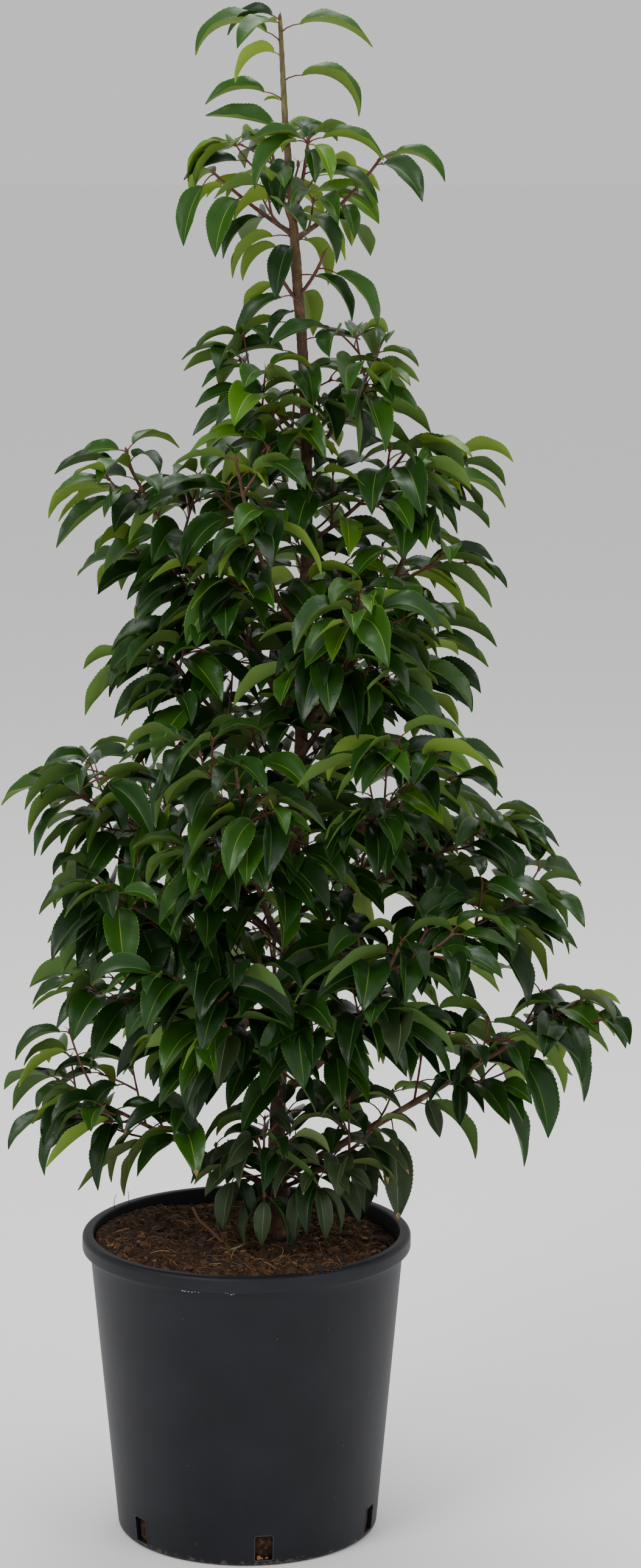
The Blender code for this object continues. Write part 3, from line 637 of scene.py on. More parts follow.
def shoot_paths(limb, rng):
    """Side shoots along a limb's leafy part, turned round it and shorter towards its tip."""
    start, middle, end = limb_controls(limb)
    first = max(limb.bare, SHOOT_FIRST)
    stem = math.hypot(limb.reach, limb.rise) * (1 - first)
    paths = []
    phase = any_turn(rng)
    for k in range(limb.shoots):
        along = first + (1 - first) * (k + SHOOT_OFFSET) / (limb.shoots + SHOOT_OFFSET)
        a, b = curve(start, middle, end, 1, along, along + 0.01)
        tangent = (b - a).normalized()
        aside = around(tangent, phase + k * TURN)
        heading = tangent * math.cos(SHOOT_SPREAD) + aside * math.sin(SHOOT_SPREAD)
        length = stem * SHOOT_SHARE * (1.25 - 0.5 * along) * rng.uniform(*SHOOT_VARIES)
        length = min(max(length, SHOOT_SHORTEST), SHOOT_LONGEST)
        heading.z = max(heading.z, SHOOT_LOWEST)
        finish = (heading + UP * SHOOT_LIFT).normalized()
        knee = a + heading.normalized() * length * 0.5
        paths.append(curve(a, knee, knee + finish * length * 0.5, SHOOT_RINGS))
    return paths


def point_along(path, distance):
    """Point and direction at a distance along a path."""
    for a, b in zip(path, path[1:]):
        step = (b - a).length
        if distance <= step:
            return a.lerp(b, distance / step), (b - a).normalized()
        distance -= step
    return path[-1].copy(), (path[-1] - path[-2]).normalized()


def path_length(path):
    return sum((b - a).length for a, b in zip(path, path[1:]))


# The plant as it grows: twigs first, then the places of the leaves

Leaf = namedtuple("Leaf", "root azimuth rise stalk length width drop early curl roll twist fold wave tone "
                          "withered")
Twig = namedtuple("Twig", "path radii skin")
# What a spur or a single shoot has in common with a limb: its name, the length of a leaf, and the droop.
Spray = namedtuple("Spray", "name leaf droop")
SPUR = Spray("spur", 0.066, 2.2)
RED, WOODY, OLIVE = range(3)
# Bands of the plant that are joined to one piece of leaves each, by their top and their foot.
BANDS = (
    ("crown", 1.30, 0.98), ("upper", 0.98, 0.84), ("chest", 0.84, 0.74), ("waist", 0.74, 0.65),
    ("hips", 0.65, 0.56), ("belly", 0.56, 0.47), ("lap", 0.47, 0.385), ("skirt", 0.385, 0.0),
)
# Chances of the five tones above a height.
TONE_CHANCES = (
    (1.16, (0.55, 0.40, 0.05, 0.00, 0.00)),
    (1.00, (0.22, 0.50, 0.28, 0.00, 0.00)),
    (0.80, (0.04, 0.32, 0.44, 0.20, 0.00)),
    (0.50, (0.01, 0.15, 0.46, 0.38, 0.00)),
    (0.36, (0.00, 0.10, 0.38, 0.48, 0.04)),
    (0.00, (0.00, 0.08, 0.22, 0.36, 0.34)),
)
# Chance of a leaf to have its spray's tone, and of one at the foot to be dusty.
OWN_TONE = 0.7
DUSTY_FOOT = 0.7
# How far leaves and twigs keep from the compost and the pot's rim.
ABOVE_POT = 0.004
PAST_RIM = 0.010
RIM_INSIDE = 0.018
RIM_OUTSIDE = 0.008
# Spread of a leaf's heading, the steepest that its stalk falls or rises, and the steepest hang of its tip.
STRAY = 0.36
STALK_LOWEST = math.radians(-12)
STALK_HIGHEST = math.radians(36)
YOUNG_HIGHEST = math.radians(48)
HANG_MOST = math.radians(86)
HANG_VARIES = (0.62, 1.16)
YOUNG_HANG = 0.75
# How leaves vary: stalk, length and width, how early they bend, their fold, and the spread of the rest.
STALKS = (0.009, 0.016)
LENGTH_VARIES = (0.80, 1.04)
WIDTHS = (0.42, 0.50)
EARLY = (0.55, 0.95)
FOLDS = (0.30, 0.72)
CURL = 0.30
ROLL = 0.42
TWIST = 0.30
# A leaf set singly varies less.
SINGLE_WIDTHS = (0.42, 0.48)
SINGLE_FOLDS = (0.50, 0.75)
SINGLE_VARIES = 0.12
# How leaves' headings are drawn to the level and lifted.
LEVELLED = 0.6
LIFTED = 0.16
# The tuft at a shoot's tip: its spread and its leaves' sizes.
TUFT_SPREAD = 0.75
TUFT_SIZES = (0.55, 0.9)
BUD_SIZES = (0.8, 1.25)
WITHERED_BELOW = 0.42
WITHERED_CHANCE = 0.10
# Shares of a leaf's arc whose points need room.
ARC_SHARES = (0.6, 1.0)


class Plant:
    """Everything that has grown so far."""

    def __init__(self):
        self.twigs, self.buds, self.leaves, self.taken = [], [], [], {}

    def room_for(self, points):
        """Take the room of some points, and be true, where no other leaf's point lies too near them."""
        homes = [tuple(int(c // LEAF_CLEAR) for c in p) for p in points]
        for p, home in zip(points, homes):
            for step in product((-1, 0, 1), repeat=3):
                for q in self.taken.get(tuple(map(sum, zip(home, step))), ()):
                    if (p - q).length < LEAF_CLEAR:
                        return False
        for p, home in zip(points, homes):
            self.taken.setdefault(home, []).append(p)
        return True


def limb_tone(limb, height, rng):
    """A spray's green by its height: bright at the top, and nearly all dusty on the limbs at the foot."""
    if limb.name.startswith("foot") and rng.random() < DUSTY_FOOT:
        return DUSTY
    row = next(weights for least, weights in TONE_CHANCES if height >= least)
    return rng.choices(range(len(TONES)), row)[0]


def inside_reach(points):
    """True where all points lie within the reach of the solids."""
    low, high = cad_box
    for p in points:
        if min(p.x - low.x, high.x - p.x, p.y - low.y, high.y - p.y) < -BOX_SLACK or p.z > high.z + TOP_SLACK:
            return False
    return True


def clear_of_pot(points):
    """True where no point would reach into the compost or through the pot's rim."""
    for p in points:
        away = math.hypot(p.x, p.y)
        if away < RIM_RADIUS + PAST_RIM and p.z < compost_height(p.x, p.y) + ABOVE_POT:
            return False
        if -RIM_INSIDE < away - RIM_RADIUS < RIM_OUTSIDE and p.z < POT_HEIGHT + ABOVE_POT:
            return False
    return True


def leaf_arc(leaf, share):
    """Rough point on a leaf's midrib, for testing the room round it."""
    point = leaf.root.copy()
    steps = 6
    for k in range(steps):
        s = (k + 0.5) / steps * share
        heading = pointing(leaf.azimuth + leaf.curl * s, leaf.rise - leaf.drop * s ** leaf.early)
        point += heading * ((leaf.stalk + leaf.length) * share / steps)
    return point


def put_leaf(plant, root, heading, length, droop, tone, rng, size=1.0):
    """Hang one leaf from a root, heading off that way and drooping."""
    azimuth = math.atan2(heading.y, heading.x) + rng.gauss(0, STRAY)
    young = size < TUFT_SIZES[1]
    rise = min(max(math.asin(heading.z), STALK_LOWEST), YOUNG_HIGHEST if young else STALK_HIGHEST)
    steep = -min(math.atan(droop) * rng.uniform(*HANG_VARIES), HANG_MOST) * (YOUNG_HANG if young else 1.0)
    leaf = Leaf(
        root=root, azimuth=azimuth, rise=rise,
        stalk=rng.uniform(*STALKS) * size,
        length=length * rng.uniform(*LENGTH_VARIES) * size,
        width=rng.uniform(*WIDTHS),
        drop=rise - steep,
        early=rng.uniform(*EARLY),
        curl=rng.gauss(0, CURL),
        roll=rng.gauss(0, ROLL),
        twist=rng.gauss(0, TWIST),
        fold=rng.uniform(*FOLDS),
        wave=any_turn(rng),
        tone=tone,
        withered=root.z < WITHERED_BELOW and rng.random() < WITHERED_CHANCE,
    )
    places = [leaf_arc(leaf, share) for share in ARC_SHARES]
    if clear_of_pot(places) and inside_reach(places) and plant.room_for(places):
        plant.leaves.append(leaf)


def grow_leaves(plant, limb, path, first, rng, spacing=LEAF_SPACING):
    """Leaves turned round a shoot, with a tuft of small ones and a bud at its tip."""
    length = path_length(path)
    phase = any_turn(rng)
    tone = limb_tone(limb, path[-1].z, rng)
    spacing *= SPARSE.get(limb.name.split("_")[0], 1.0)
    blade = limb.leaf * (FOOT_LEAF if limb.name.startswith("foot") else 1.0)
    count = max(int((length - first) / spacing), 1)
    for k in range(count + 2):
        root, tangent = point_along(path, first + (length - first) * min(k / count, 1.0))
        spread = LEAF_SPREAD * (TUFT_SPREAD if k >= count else 1.0)
        heading = tangent * math.cos(spread) + around(tangent, phase + k * LEAF_TURN) * math.sin(spread)
        out = Vector((root.x - MID_TRUNK.x, root.y - MID_TRUNK.y, 0.0))
        if out.length > 0.01:
            heading += out.normalized() * LEAF_OUTWARD
        heading.z = heading.z * LEVELLED + LIFTED
        own = tone if rng.random() < OWN_TONE else limb_tone(limb, root.z, rng)
        size = 1.0 if k < count else rng.uniform(*TUFT_SIZES)
        put_leaf(plant, root, heading.normalized(), blade, limb.droop, own, rng, size)
    plant.buds.append((path[-1], (path[-1] - path[-2]).normalized(), rng.uniform(*BUD_SIZES)))


def grow_limb(plant, number, limb):
    """One limb's leafy part: its stem, side shoots, twiglets on them, and their leaves."""
    shoots = shoot_paths(limb, random.Random(SEED + number))
    rng = random.Random(2 * SEED + number)
    stem = curve(*limb_controls(limb), STEM_RINGS, limb.bare, 1.0)
    radii = [limb_radius(limb, share) for share in taper(limb.bare, 1, STEM_RINGS)]
    plant.twigs.append(Twig(stem, radii, WOODY if limb.height < 1.0 else RED))
    if limb.name in SINGLY_LEAVED:
        plant.buds.append((stem[-1], (stem[-1] - stem[-2]).normalized(), 1.2))
        return
    first = FIRST_LEAF if limb.bare else 2 * FIRST_LEAF
    grow_leaves(plant, limb, stem, first, rng, LEAF_SPACING * STEM_SPARSE)
    for shoot in shoots:
        if not clear_of_pot(shoot):
            continue
        length = path_length(shoot)
        plant.twigs.append(Twig(shoot, taper(SHOOT_FOOT, SHOOT_TIP, SHOOT_RINGS), RED))
        grow_leaves(plant, limb, shoot, length * SHOOT_BARE, rng)
        for _ in range(2 if length > TWO_TWIGLETS else 1):
            root, tangent = point_along(shoot, length * rng.uniform(*TWIGLET_SEATS))
            heading = tangent * 0.7 + around(tangent, any_turn(rng)) * 0.8
            heading.z = abs(heading.z) * LEVELLED + 0.1
            tip = root + heading.normalized() * rng.uniform(*TWIGLET_LENGTHS)
            twiglet = curve(root, root.lerp(tip, 0.5) + UP * 0.002, tip, TWIGLET_RINGS)
            if clear_of_pot(twiglet):
                plant.twigs.append(Twig(twiglet, taper(TWIGLET_FOOT, SHOOT_TIP, TWIGLET_RINGS), RED))
                grow_leaves(plant, limb, twiglet, 0.008, rng)


# Leaves set singly, by what carries them: where the leaf sits (a height on the trunk, a share of a limb or
# shoot), azimuth, rise, stalk and blade in mm, drop, early bend, lean and tone.
SINGLE_LEAVES = (
    ("leader", (
        (0.985, 168, 36, 8, 46, 96, 0.65, -0.45, DEEP), (0.96, -132, 12, 6, 54, 66, 0.8, -0.1, FRESH),
        (0.868, -6, 24, 17, 66, 70, 0.7, 0.3, FRESH), (0.756, 184, 38, 15, 72, 112, 1.0, -0.3, FRESH),
        (0.615, 206, 30, 8, 48, 102, 0.6, 0.6, YOUNG), (0.368, -6, 18, 16, 66, 104, 0.95, 0.15, FRESH),
        (0.15, 165, 30, 5, 14, 60, 0.8, 0.0, YOUNG), (0.16, 178, 26, 18, 52, 66, 0.75, -0.35, FRESH),)),
    ("trunk", (
        (1.184, 176, 20, 6, 58, 20, 0.8, -0.6, FRESH), (1.18, 40, 25, 8, 40, 60, 0.8, 0.2, DEEP),
        (1.16, -98, -2, 10, 54, 78, 0.6, -0.2, FULL), (1.108, -52, 16, 12, 58, 96, 0.7, 0.0, FULL),
        (1.097, 190, 6, 14, 52, 86, 0.7, 0.3, FRESH), (1.094, 52, 5, 10, 52, 85, 0.5, 0.0, FRESH),
        (1.091, -112, 0, 5, 56, 80, 0.5, 0.0, DEEP), (1.087, 163, 10, 12, 44, 85, 0.6, 0.4, FRESH),
        (1.066, -20, 2, 12, 52, 80, 0.6, 0.1, FULL),)),
    ("collar_left", (
        (0.2, -172, -6, 10, 60, 76, 0.7, -0.4, FULL), (0.5, 150, 0, 10, 46, 80, 0.6, 0.2, FRESH),)),
    ("collar_right", (
        (0.7, -12, -14, 16, 58, 62, 0.7, 0.35, FRESH),)),
    ("trunk", (
        (1.052, 72, 2, 10, 50, 84, 0.5, 0.0, FRESH), (1.037, -130, 4, 5, 38, 66, 0.7, 0.0, DEEP),
        (1.024, 182, 16, 13, 60, 102, 0.8, 0.1, FRESH), (1.012, 18, 18, 8, 40, 36, 0.7, 0.3, DEEP),
        (0.998, 178, 24, 14, 56, 64, 0.7, -0.4, FULL), (0.99, -80, 10, 8, 52, 80, 0.6, 0.0, FRESH),)),
    ("crown_front", (
        (1.0, -150, 22, 8, 46, 42, 0.8, -0.5, FRESH), (1.0, 140, 62, 4, 20, 40, 0.8, 0.0, FULL),
        (1.0, 20, 44, 8, 34, 74, 0.8, -0.3, FULL), (0.98, 76, 50, 6, 26, 50, 0.8, 0.0, FULL),
        (0.98, -138, 8, 13, 62, 84, 0.7, -0.2, FRESH), (0.98, -8, 20, 13, 56, 72, 0.8, 0.2, FRESH),
        (0.96, -58, 0, 10, 42, 72, 0.6, 0.0, YOUNG), (0.92, -78, -6, 10, 38, 64, 0.6, 0.0, FULL),
        (1.0, 60, 34, 8, 40, 70, 0.7, 0.2, FULL), (0.97, 120, 30, 8, 42, 80, 0.7, 0.0, FRESH),
        (0.7, 20, 18, 12, 48, 96, 0.8, 0.1, FULL), (0.62, -16, 8, 14, 58, 66, 0.9, 0.2, FULL),)),
    ("crown_high_left", (
        (1.0, 188, 8, 12, 46, 92, 0.6, -0.1, YOUNG), (0.98, 205, -4, 10, 46, 74, 0.6, 0.2, FRESH),
        (0.97, 60, 24, 10, 42, 70, 0.7, 0.3, FRESH), (0.95, -100, 30, 8, 34, 60, 0.7, 0.0, YOUNG),
        (0.72, 184, 8, 10, 48, 50, 0.8, -0.5, DEEP), (0.55, -70, 10, 12, 54, 88, 0.6, 0.1, FULL),)),
    ("crown_left", (
        (0.8, 192, 4, 6, 42, 90, 0.7, 0.3, YOUNG), (1.0, 222, -38, 16, 54, 44, 0.6, -0.4, FRESH),
        (0.62, -124, -4, 9, 60, 76, 0.55, -0.2, FRESH), (0.3, -150, 2, 9, 50, 72, 0.6, -0.2, FULL),
        (0.93, 120, 20, 10, 46, 80, 0.7, 0.0, FRESH),)),
    ("crown_right", (
        (1.0, -10, 22, 14, 52, 86, 0.75, 0.25, FRESH), (0.94, -48, 12, 10, 58, 76, 0.7, 0.35, FULL),
        (0.99, 70, 24, 8, 44, 80, 0.7, 0.0, FULL), (0.52, -72, -8, 9, 38, 62, 0.6, 0.1, FRESH),
        (0.45, 66, 0, 10, 44, 82, 0.6, -0.2, FRESH),)),
    ("low_right", (
        (0.385, -80, -46, 20, 72, 40, 0.42, 0.0, DUSTY), (0.31, -98, -50, 16, 58, 38, 0.45, 0.0, DUSTY),
        (0.5, -40, -56, 4, 34, 16, 0.6, 0.6, DUSTY), (0.61, 200, -10, 4, 32, 60, 0.7, -0.3, DEEP),
        (0.62, -20, -22, 24, 78, 62, 0.5, 0.2, FULL), (0.62, -95, -40, 8, 38, 45, 0.6, 0.0, DEEP),
        (0.7, 205, 0, 4, 36, 74, 0.7, -0.3, DEEP), (0.69, 42, -10, 9, 62, 74, 0.8, -0.2, FRESH),
        (0.76, -38, -20, 20, 72, 66, 0.44, 0.3, FULL), (0.8, 70, 14, 10, 60, 92, 0.6, 0.0, FULL),
        (0.84, 48, 20, 10, 62, 104, 0.6, -0.1, FRESH), (0.865, -30, -10, 16, 66, 74, 0.5, 0.2, FULL),
        (0.94, -62, -10, 12, 58, 72, 0.5, 0.1, FULL), (0.93, 100, 34, 8, 44, 80, 0.7, 0.4, FULL),
        (0.97, -20, 0, 12, 38, 60, 0.8, -0.4, FRESH), (0.96, 172, 34, 8, 46, 96, 0.7, -0.2, FULL),
        (1.0, -25, 16, 8, 48, 92, 0.8, 0.2, FULL), (1.0, 12, 26, 6, 36, 60, 0.8, -0.4, FRESH),)),
    ("low_left", (
        (0.43, -75, -30, 8, 26, 50, 0.5, 0.0, FRESH), (0.56, -165, -22, 14, 54, 62, 0.46, 0.3, DUSTY),
        (0.67, -160, -30, 10, 50, 54, 0.46, 0.3, DUSTY), (0.62, 30, 26, 8, 46, 90, 0.6, 0.1, FULL),
        (0.8, -12, 26, 6, 42, 84, 0.8, 0.4, FULL), (0.84, 100, 20, 8, 48, 90, 0.6, 0.0, FRESH),
        (0.9, 188, 4, 12, 48, 50, 0.8, 0.3, FRESH),)),
    ("low_left_rise", (
        (1.0, 184, 8, 8, 48, 72, 0.8, -0.2, FULL), (0.78, 190, -10, 8, 52, 48, 0.8, 0.4, FRESH),
        (1.0, 20, 30, 6, 40, 60, 0.8, 0.1, FULL), (0.7, 10, 10, 8, 48, 70, 0.8, 0.3, FULL),
        (0.45, 60, 10, 8, 46, 80, 0.7, 0.1, FRESH),)),
    ("low_left_side", (
        (1.0, 188, 2, 10, 48, 68, 0.8, -0.3, FULL), (0.84, -135, -14, 8, 52, 68, 0.6, 0.0, FULL),
        (0.72, -20, 40, 5, 38, 100, 0.8, 0.2, FULL), (0.36, -112, -14, 5, 46, 64, 0.5, 0.0, FULL),)),
    ("foot_twig_left", (
        (1.0, -118, -34, 7, 42, 54, 0.55, 0.0, DUSTY), (0.8, -160, -36, 7, 46, 50, 0.55, 0.0, DUSTY),
        (0.6, -66, -34, 8, 42, 54, 0.55, 0.2, FULL), (0.98, -60, -28, 6, 38, 56, 0.55, 0.0, DEEP),
        (0.4, 190, -24, 9, 44, 60, 0.55, 0.0, DUSTY),)),
    ("foot_twig_front", (
        (1.0, -92, -38, 6, 38, 50, 0.55, 0.0, DUSTY), (0.82, -150, -30, 7, 42, 58, 0.55, 0.0, DUSTY),
        (0.7, -36, -28, 9, 46, 60, 0.55, 0.3, DUSTY), (0.92, -20, -34, 7, 42, 54, 0.55, 0.0, DEEP),)),
    ("foot_twig_right", (
        (1.0, -72, -30, 8, 44, 58, 0.55, 0.0, DUSTY), (0.84, -118, -30, 8, 46, 58, 0.55, 0.0, DUSTY),
        (0.92, -14, -28, 8, 44, 60, 0.55, 0.0, DUSTY), (0.6, -40, -24, 9, 44, 62, 0.55, 0.0, DEEP),)),
)


def grow_singles(plant):
    """The shoots and leaves that are set one by one."""
    rng = random.Random(SEED)
    paths = {limb.name: curve(*limb_controls(limb), STEM_RINGS) for limb in LIMBS}

    def seat(carrier, place):
        if carrier == "trunk":
            return trunk_at(place)[0]
        return point_along(paths[carrier], path_length(paths[carrier]) * place)[0]

    for shoot in SINGLE_SHOOTS:
        root = seat(shoot.carrier, shoot.place)
        out, rise = pointing(math.radians(shoot.azimuth)) * shoot.reach, UP * shoot.rise
        path = curve(root, root + out * 0.6 + rise * 0.4, root + out + rise, SHOOT_RINGS)
        paths[shoot.name] = path
        plant.twigs.append(Twig(path, taper(SPUR_FOOT, SHOOT_TIP, SHOOT_RINGS), RED))
    for carrier, rows in SINGLE_LEAVES:
        for place, azimuth, rise, stalk, length, drop, early, lean, tone in rows:
            stalk += TRUNK_SEAT if carrier == "trunk" else 0
            leaf = Leaf(
                root=seat(carrier, place), azimuth=math.radians(azimuth), rise=math.radians(rise),
                stalk=stalk * MM, length=length * MM, width=rng.uniform(*SINGLE_WIDTHS),
                drop=math.radians(drop), early=early, curl=rng.gauss(0, SINGLE_VARIES), roll=lean,
                twist=rng.gauss(0, SINGLE_VARIES), fold=rng.uniform(*SINGLE_FOLDS), wave=any_turn(rng),
                tone=tone, withered=tone == DUSTY and length > WITHERED_LENGTH)
            plant.leaves.append(leaf)
            plant.room_for([leaf_arc(leaf, share) for share in ARC_SHARES])
    for shoot in SINGLE_SHOOTS:
        path = paths[shoot.name]
        if shoot.leafy:
            grow_leaves(plant, SPUR, path, FIRST_LEAF, rng)
        else:
            plant.buds.append((path[-1], UP, 1.2))


def grow_leader(plant, limb):
    """The leader above the top fork, stouter than a side shoot."""
    stem = curve(*limb_controls(limb), STEM_RINGS)
    radii = [limb_radius(limb, share) * 1.4 for share in taper(0, 1, STEM_RINGS)]
    plant.twigs.append(Twig(stem, radii, OLIVE))
    plant.buds.append((stem[-1], UP, 1.3))


def grow_spurs(plant):
    """Short leafy shoots straight on the trunk and on the bare boughs."""
    rng = random.Random(SEED + 3)
    seats = [(trunk_at(SPUR_LOW + SPUR_EVERY * k)[0], k * TURN)
             for k in range(int((SPUR_HIGH - SPUR_LOW) / SPUR_EVERY))]
    for limb in LIMBS:
        for share, aside in SPUR_SHARES if limb.bare else ():
            root = curve(*limb_controls(limb), 1, 0.0, limb.bare * share)[1]
            seats.append((root, math.radians(limb.azimuth) + aside))
    for root, turn in seats:
        out = pointing(turn)
        length = rng.uniform(*SPUR_LENGTHS)
        path = curve(root, root + (out + UP * 0.5) * length * 0.5, root + (out * 0.7 + UP * 0.6) * length,
                     SPUR_RINGS)
        plant.twigs.append(Twig(path, taper(SPUR_FOOT, SHOOT_TIP, SPUR_RINGS), RED))
        grow_leaves(plant, SPUR, path, length * SPUR_BARE, rng)


# Leaf blades

# The blade laid flat: rows of points from stalk to tip, in columns at shares of the half width.
LEAF_ROWS = 11
LEAF_END = 0.985
WITHERED_ROWS = 1
COLUMNS = (-0.940, -0.5, -0.03, 0.03, 0.5, 0.940)
RIB_COLUMNS = (2, 3)
# Two teeth of the margin in each row, as (share of the row, share of the half width).
NOTCH = 0.950
TEETH = ((0.0, NOTCH), (0.32, 1.0), (0.45, NOTCH), (0.84, 1.0))
# Slant of the side veins, thickness, how far the midrib stands out, and the swelling between the veins.
VEIN_SLANT = 0.35
BLADE_THICK = 0.00034
RIB_STAND = 0.00035
QUILT = 0.00022
LEAF_STEPS = 24
# Powers that round the outline's foot and tip, and its least half width at the stalk.
OUTLINE = (0.78, 1.12)
FOOT_WIDTH = 0.0005
STALK_RADII = (0.00085, 0.0006, 0.00058, 0.00045)
STALK_LIFT = math.radians(26)
STALK_IN_BLADE = 0.0015
KNUCKLES = 0.12
# The margin's waves along the blade.
WAVES = 17
WAVE_SIZE = 0.055


def half_width(s):
    """Share of the blade's greatest half width at a share of its length."""
    rise, fall = OUTLINE
    peak = rise / (rise + fall)
    return s ** rise * (1 - s) ** fall / (peak ** rise * (1 - peak) ** fall)


def slanted(s, c):
    """Share of the length where a side vein that leaves the midrib at s has got to at a share across."""
    return s + VEIN_SLANT * abs(c) * s * (1 - s)


def blade_template():
    """Points of one blade as (along, across, lift), its triangles, and each one's part and row."""
    points, faces, parts, lines = [], [], [], []
    rows = [LEAF_END * i / LEAF_ROWS for i in range(LEAF_ROWS + 1)]
    upper, margin, rib, lower = range(len(LEAF_PARTS))

    def put(*point):
        points.append(point)
        return len(points) - 1

    def face(corners, part, flip, row):
        faces.append(corners[::-1] if flip else corners)
        parts.append(part)
        lines.append(row)

    shells = []
    for sign in (1, -1):
        shells.append([])
        for i, s in enumerate(rows):
            line = []
            for j, c in enumerate(COLUMNS):
                lift = sign * BLADE_THICK / 2
                if j in RIB_COLUMNS:
                    lift -= RIB_STAND if sign < 0 else RIB_STAND * 0.3
                elif abs(c) == 0.5:
                    lift += QUILT if i % 2 else -QUILT
                line.append(put(slanted(s, c), c, lift))
            shells[-1].append(line)
    margins = [[put(slanted(rows[i] + step * LEAF_END / LEAF_ROWS, 1.0), side * share, 0.0)
                for i in range(LEAF_ROWS + 1) for step, share in (TEETH if i < LEAF_ROWS else TEETH[:1])]
               for side in (-1, 1)]
    tip = put(1.0, 0.0, 0.0)
    for under, shell in enumerate(shells):
        main = lower if under else upper
        for i, (a, b) in enumerate(zip(shell, shell[1:])):
            for j in range(len(COLUMNS) - 1):
                part = rib if j == RIB_COLUMNS[0] else main
                face((a[j], b[j], b[j + 1]), part, under, i)
                face((a[j], b[j + 1], a[j + 1]), part, under, i)
            for line, inner, flip in ((margins[0], 0, not under), (margins[1], -1, under)):
                m = line[4 * i:4 * i + 5]
                near, far = a[inner], b[inner]
                for corners in ((near, m[1], m[0]), (near, m[2], m[1]), (near, far, m[2]),
                                (far, m[3], m[2]), (far, m[4], m[3])):
                    face(corners, lower if under else margin, flip, i)
        ends = [margins[0][-1], *shell[-1], margins[1][-1]]
        for a, b in zip(ends, ends[1:]):
            face((a, tip, b), main, under, LEAF_ROWS)
    loop = [margins[0][0], *shells[0][0], margins[1][0], *reversed(shells[1][0])]
    for a, b in zip(loop[1:], loop[2:]):
        face((loop[0], a, b), lower, False, 0)
    return np.array(points), np.array(faces), np.array(parts), np.array(lines)


def blade_arrays(leaves):
    """All blades of some leaves: points (leaf, point, 3), and each midrib's first point."""
    along, share, lift = blade_template()[0].T
    own = {name: np.array([getattr(leaf, name) for leaf in leaves], float)[:, None]
           for name in Leaf._fields if name not in ("root", "tone", "withered")}
    roots = np.array([leaf.root[:] for leaf in leaves])
    s = np.linspace(0, 1, LEAF_STEPS + 1)[None]
    rise = own["rise"] - own["drop"] * s ** own["early"]
    turn = own["azimuth"] + own["curl"] * s
    tangent = np.stack([np.cos(rise) * np.cos(turn), np.cos(rise) * np.sin(turn), np.sin(rise)], -1)
    start = roots + tangent[:, 0] * own["stalk"]
    steps = tangent * (own["length"] / LEAF_STEPS)[..., None]
    between = (steps[:, :-1] + steps[:, 1:]) / 2
    midrib = np.concatenate([np.zeros_like(steps[:, :1]), np.cumsum(between, 1)], 1) + start[:, None]
    level = np.stack([-np.sin(turn), np.cos(turn), np.zeros_like(turn)], -1)
    lean = (own["roll"] + own["twist"] * s)[..., None]
    side = level * np.cos(lean) + np.cross(tangent, level) * np.sin(lean)
    normal = np.cross(tangent, side)
    at = along * LEAF_STEPS
    low = np.minimum(at.astype(int), LEAF_STEPS - 1)
    part = (at - low)[None, :, None]

    def read(values):
        return values[:, low] * (1 - part) + values[:, low + 1] * part

    half = half_width(along)[None] * own["width"] / 2 * own["length"] + FOOT_WIDTH * (1 - along)[None]
    out = half * share[None]
    phase = along[None] * WAVES + own["wave"] + 1.3 * np.sign(share)[None]
    ripple = np.sin(phase) * WAVE_SIZE * half * share[None] ** 2
    raised = np.abs(out) * np.sin(own["fold"]) + ripple + lift[None]
    spread = out * np.cos(own["fold"])
    return read(midrib) + read(side) * spread[..., None] + read(normal) * raised[..., None], start


def leaves_piece(name, leaves, finishes):
    """One joined piece of blades, each in its spray's tone, and some with a withered tip."""
    points, _ = blade_arrays(leaves)
    template, faces, parts, lines = blade_template()
    triangles = faces[None] + (np.arange(len(leaves)) * len(template))[:, None, None]
    tones = np.array([leaf.tone for leaf in leaves])
    which = parts[None] + (tones * len(LEAF_PARTS))[:, None]
    withered = np.array([leaf.withered for leaf in leaves])
    which[withered[:, None] & (lines >= LEAF_ROWS - WITHERED_ROWS)[None]] = len(finishes) - 1
    return piece_from(name, points.reshape(-1, 3), triangles.reshape(-1, 3), finishes, which.ravel(), 60)


def stalks_piece(name, leaves, skins):
    """The leaves' red-brown stalks, from the twig to the foot of the blade."""
    batch = Batch()
    for leaf, start in zip(leaves, blade_arrays(leaves)[1]):
        lifted = pointing(leaf.azimuth, leaf.rise + STALK_LIFT)
        end = Vector(start) + pointing(leaf.azimuth, leaf.rise) * STALK_IN_BLADE
        path = curve(leaf.root, leaf.root + lifted * leaf.stalk * 0.5, end, len(STALK_RADII) - 1)
        batch.add(*tube(path, STALK_RADII, 5), 1 if leaf.tone == YOUNG else 0)
    return batch.piece(name, skins)


def twigs_piece(name, twigs, skins):
    """Twigs as tapering tubes with a slight knuckle at each leaf's seat."""
    batch = Batch()
    for twig in twigs:
        batch.add(*tube(twig.path, [r * (1.0 + KNUCKLES * (k % 2)) for k, r in enumerate(twig.radii)], 6))
    return batch.piece(name, skins)


def buds_piece(name, buds, skins):
    """A pointed bud and a few narrow scales at each shoot's tip."""
    batch = Batch()
    rng = random.Random(SEED + 7)
    for place, heading, size in buds:
        length = BUD_LENGTH * size
        path = [place - heading * 0.001 + heading * length * share for share, _ in BUD]
        batch.add(*tube(path, [radius * size for _, radius in BUD], 5))
        for _ in range(rng.choice(SCALE_COUNTS)):
            out = around(heading, any_turn(rng))
            tip = place + (heading * 0.8 + out * 0.7).normalized() * rng.uniform(*SCALE_LENGTHS)
            batch.add(*tube(curve(place, place + heading * 0.003, tip, 3), SCALE_RADII, 4))
    return batch.piece(name, skins)


# Trunk and boughs with their bark's relief

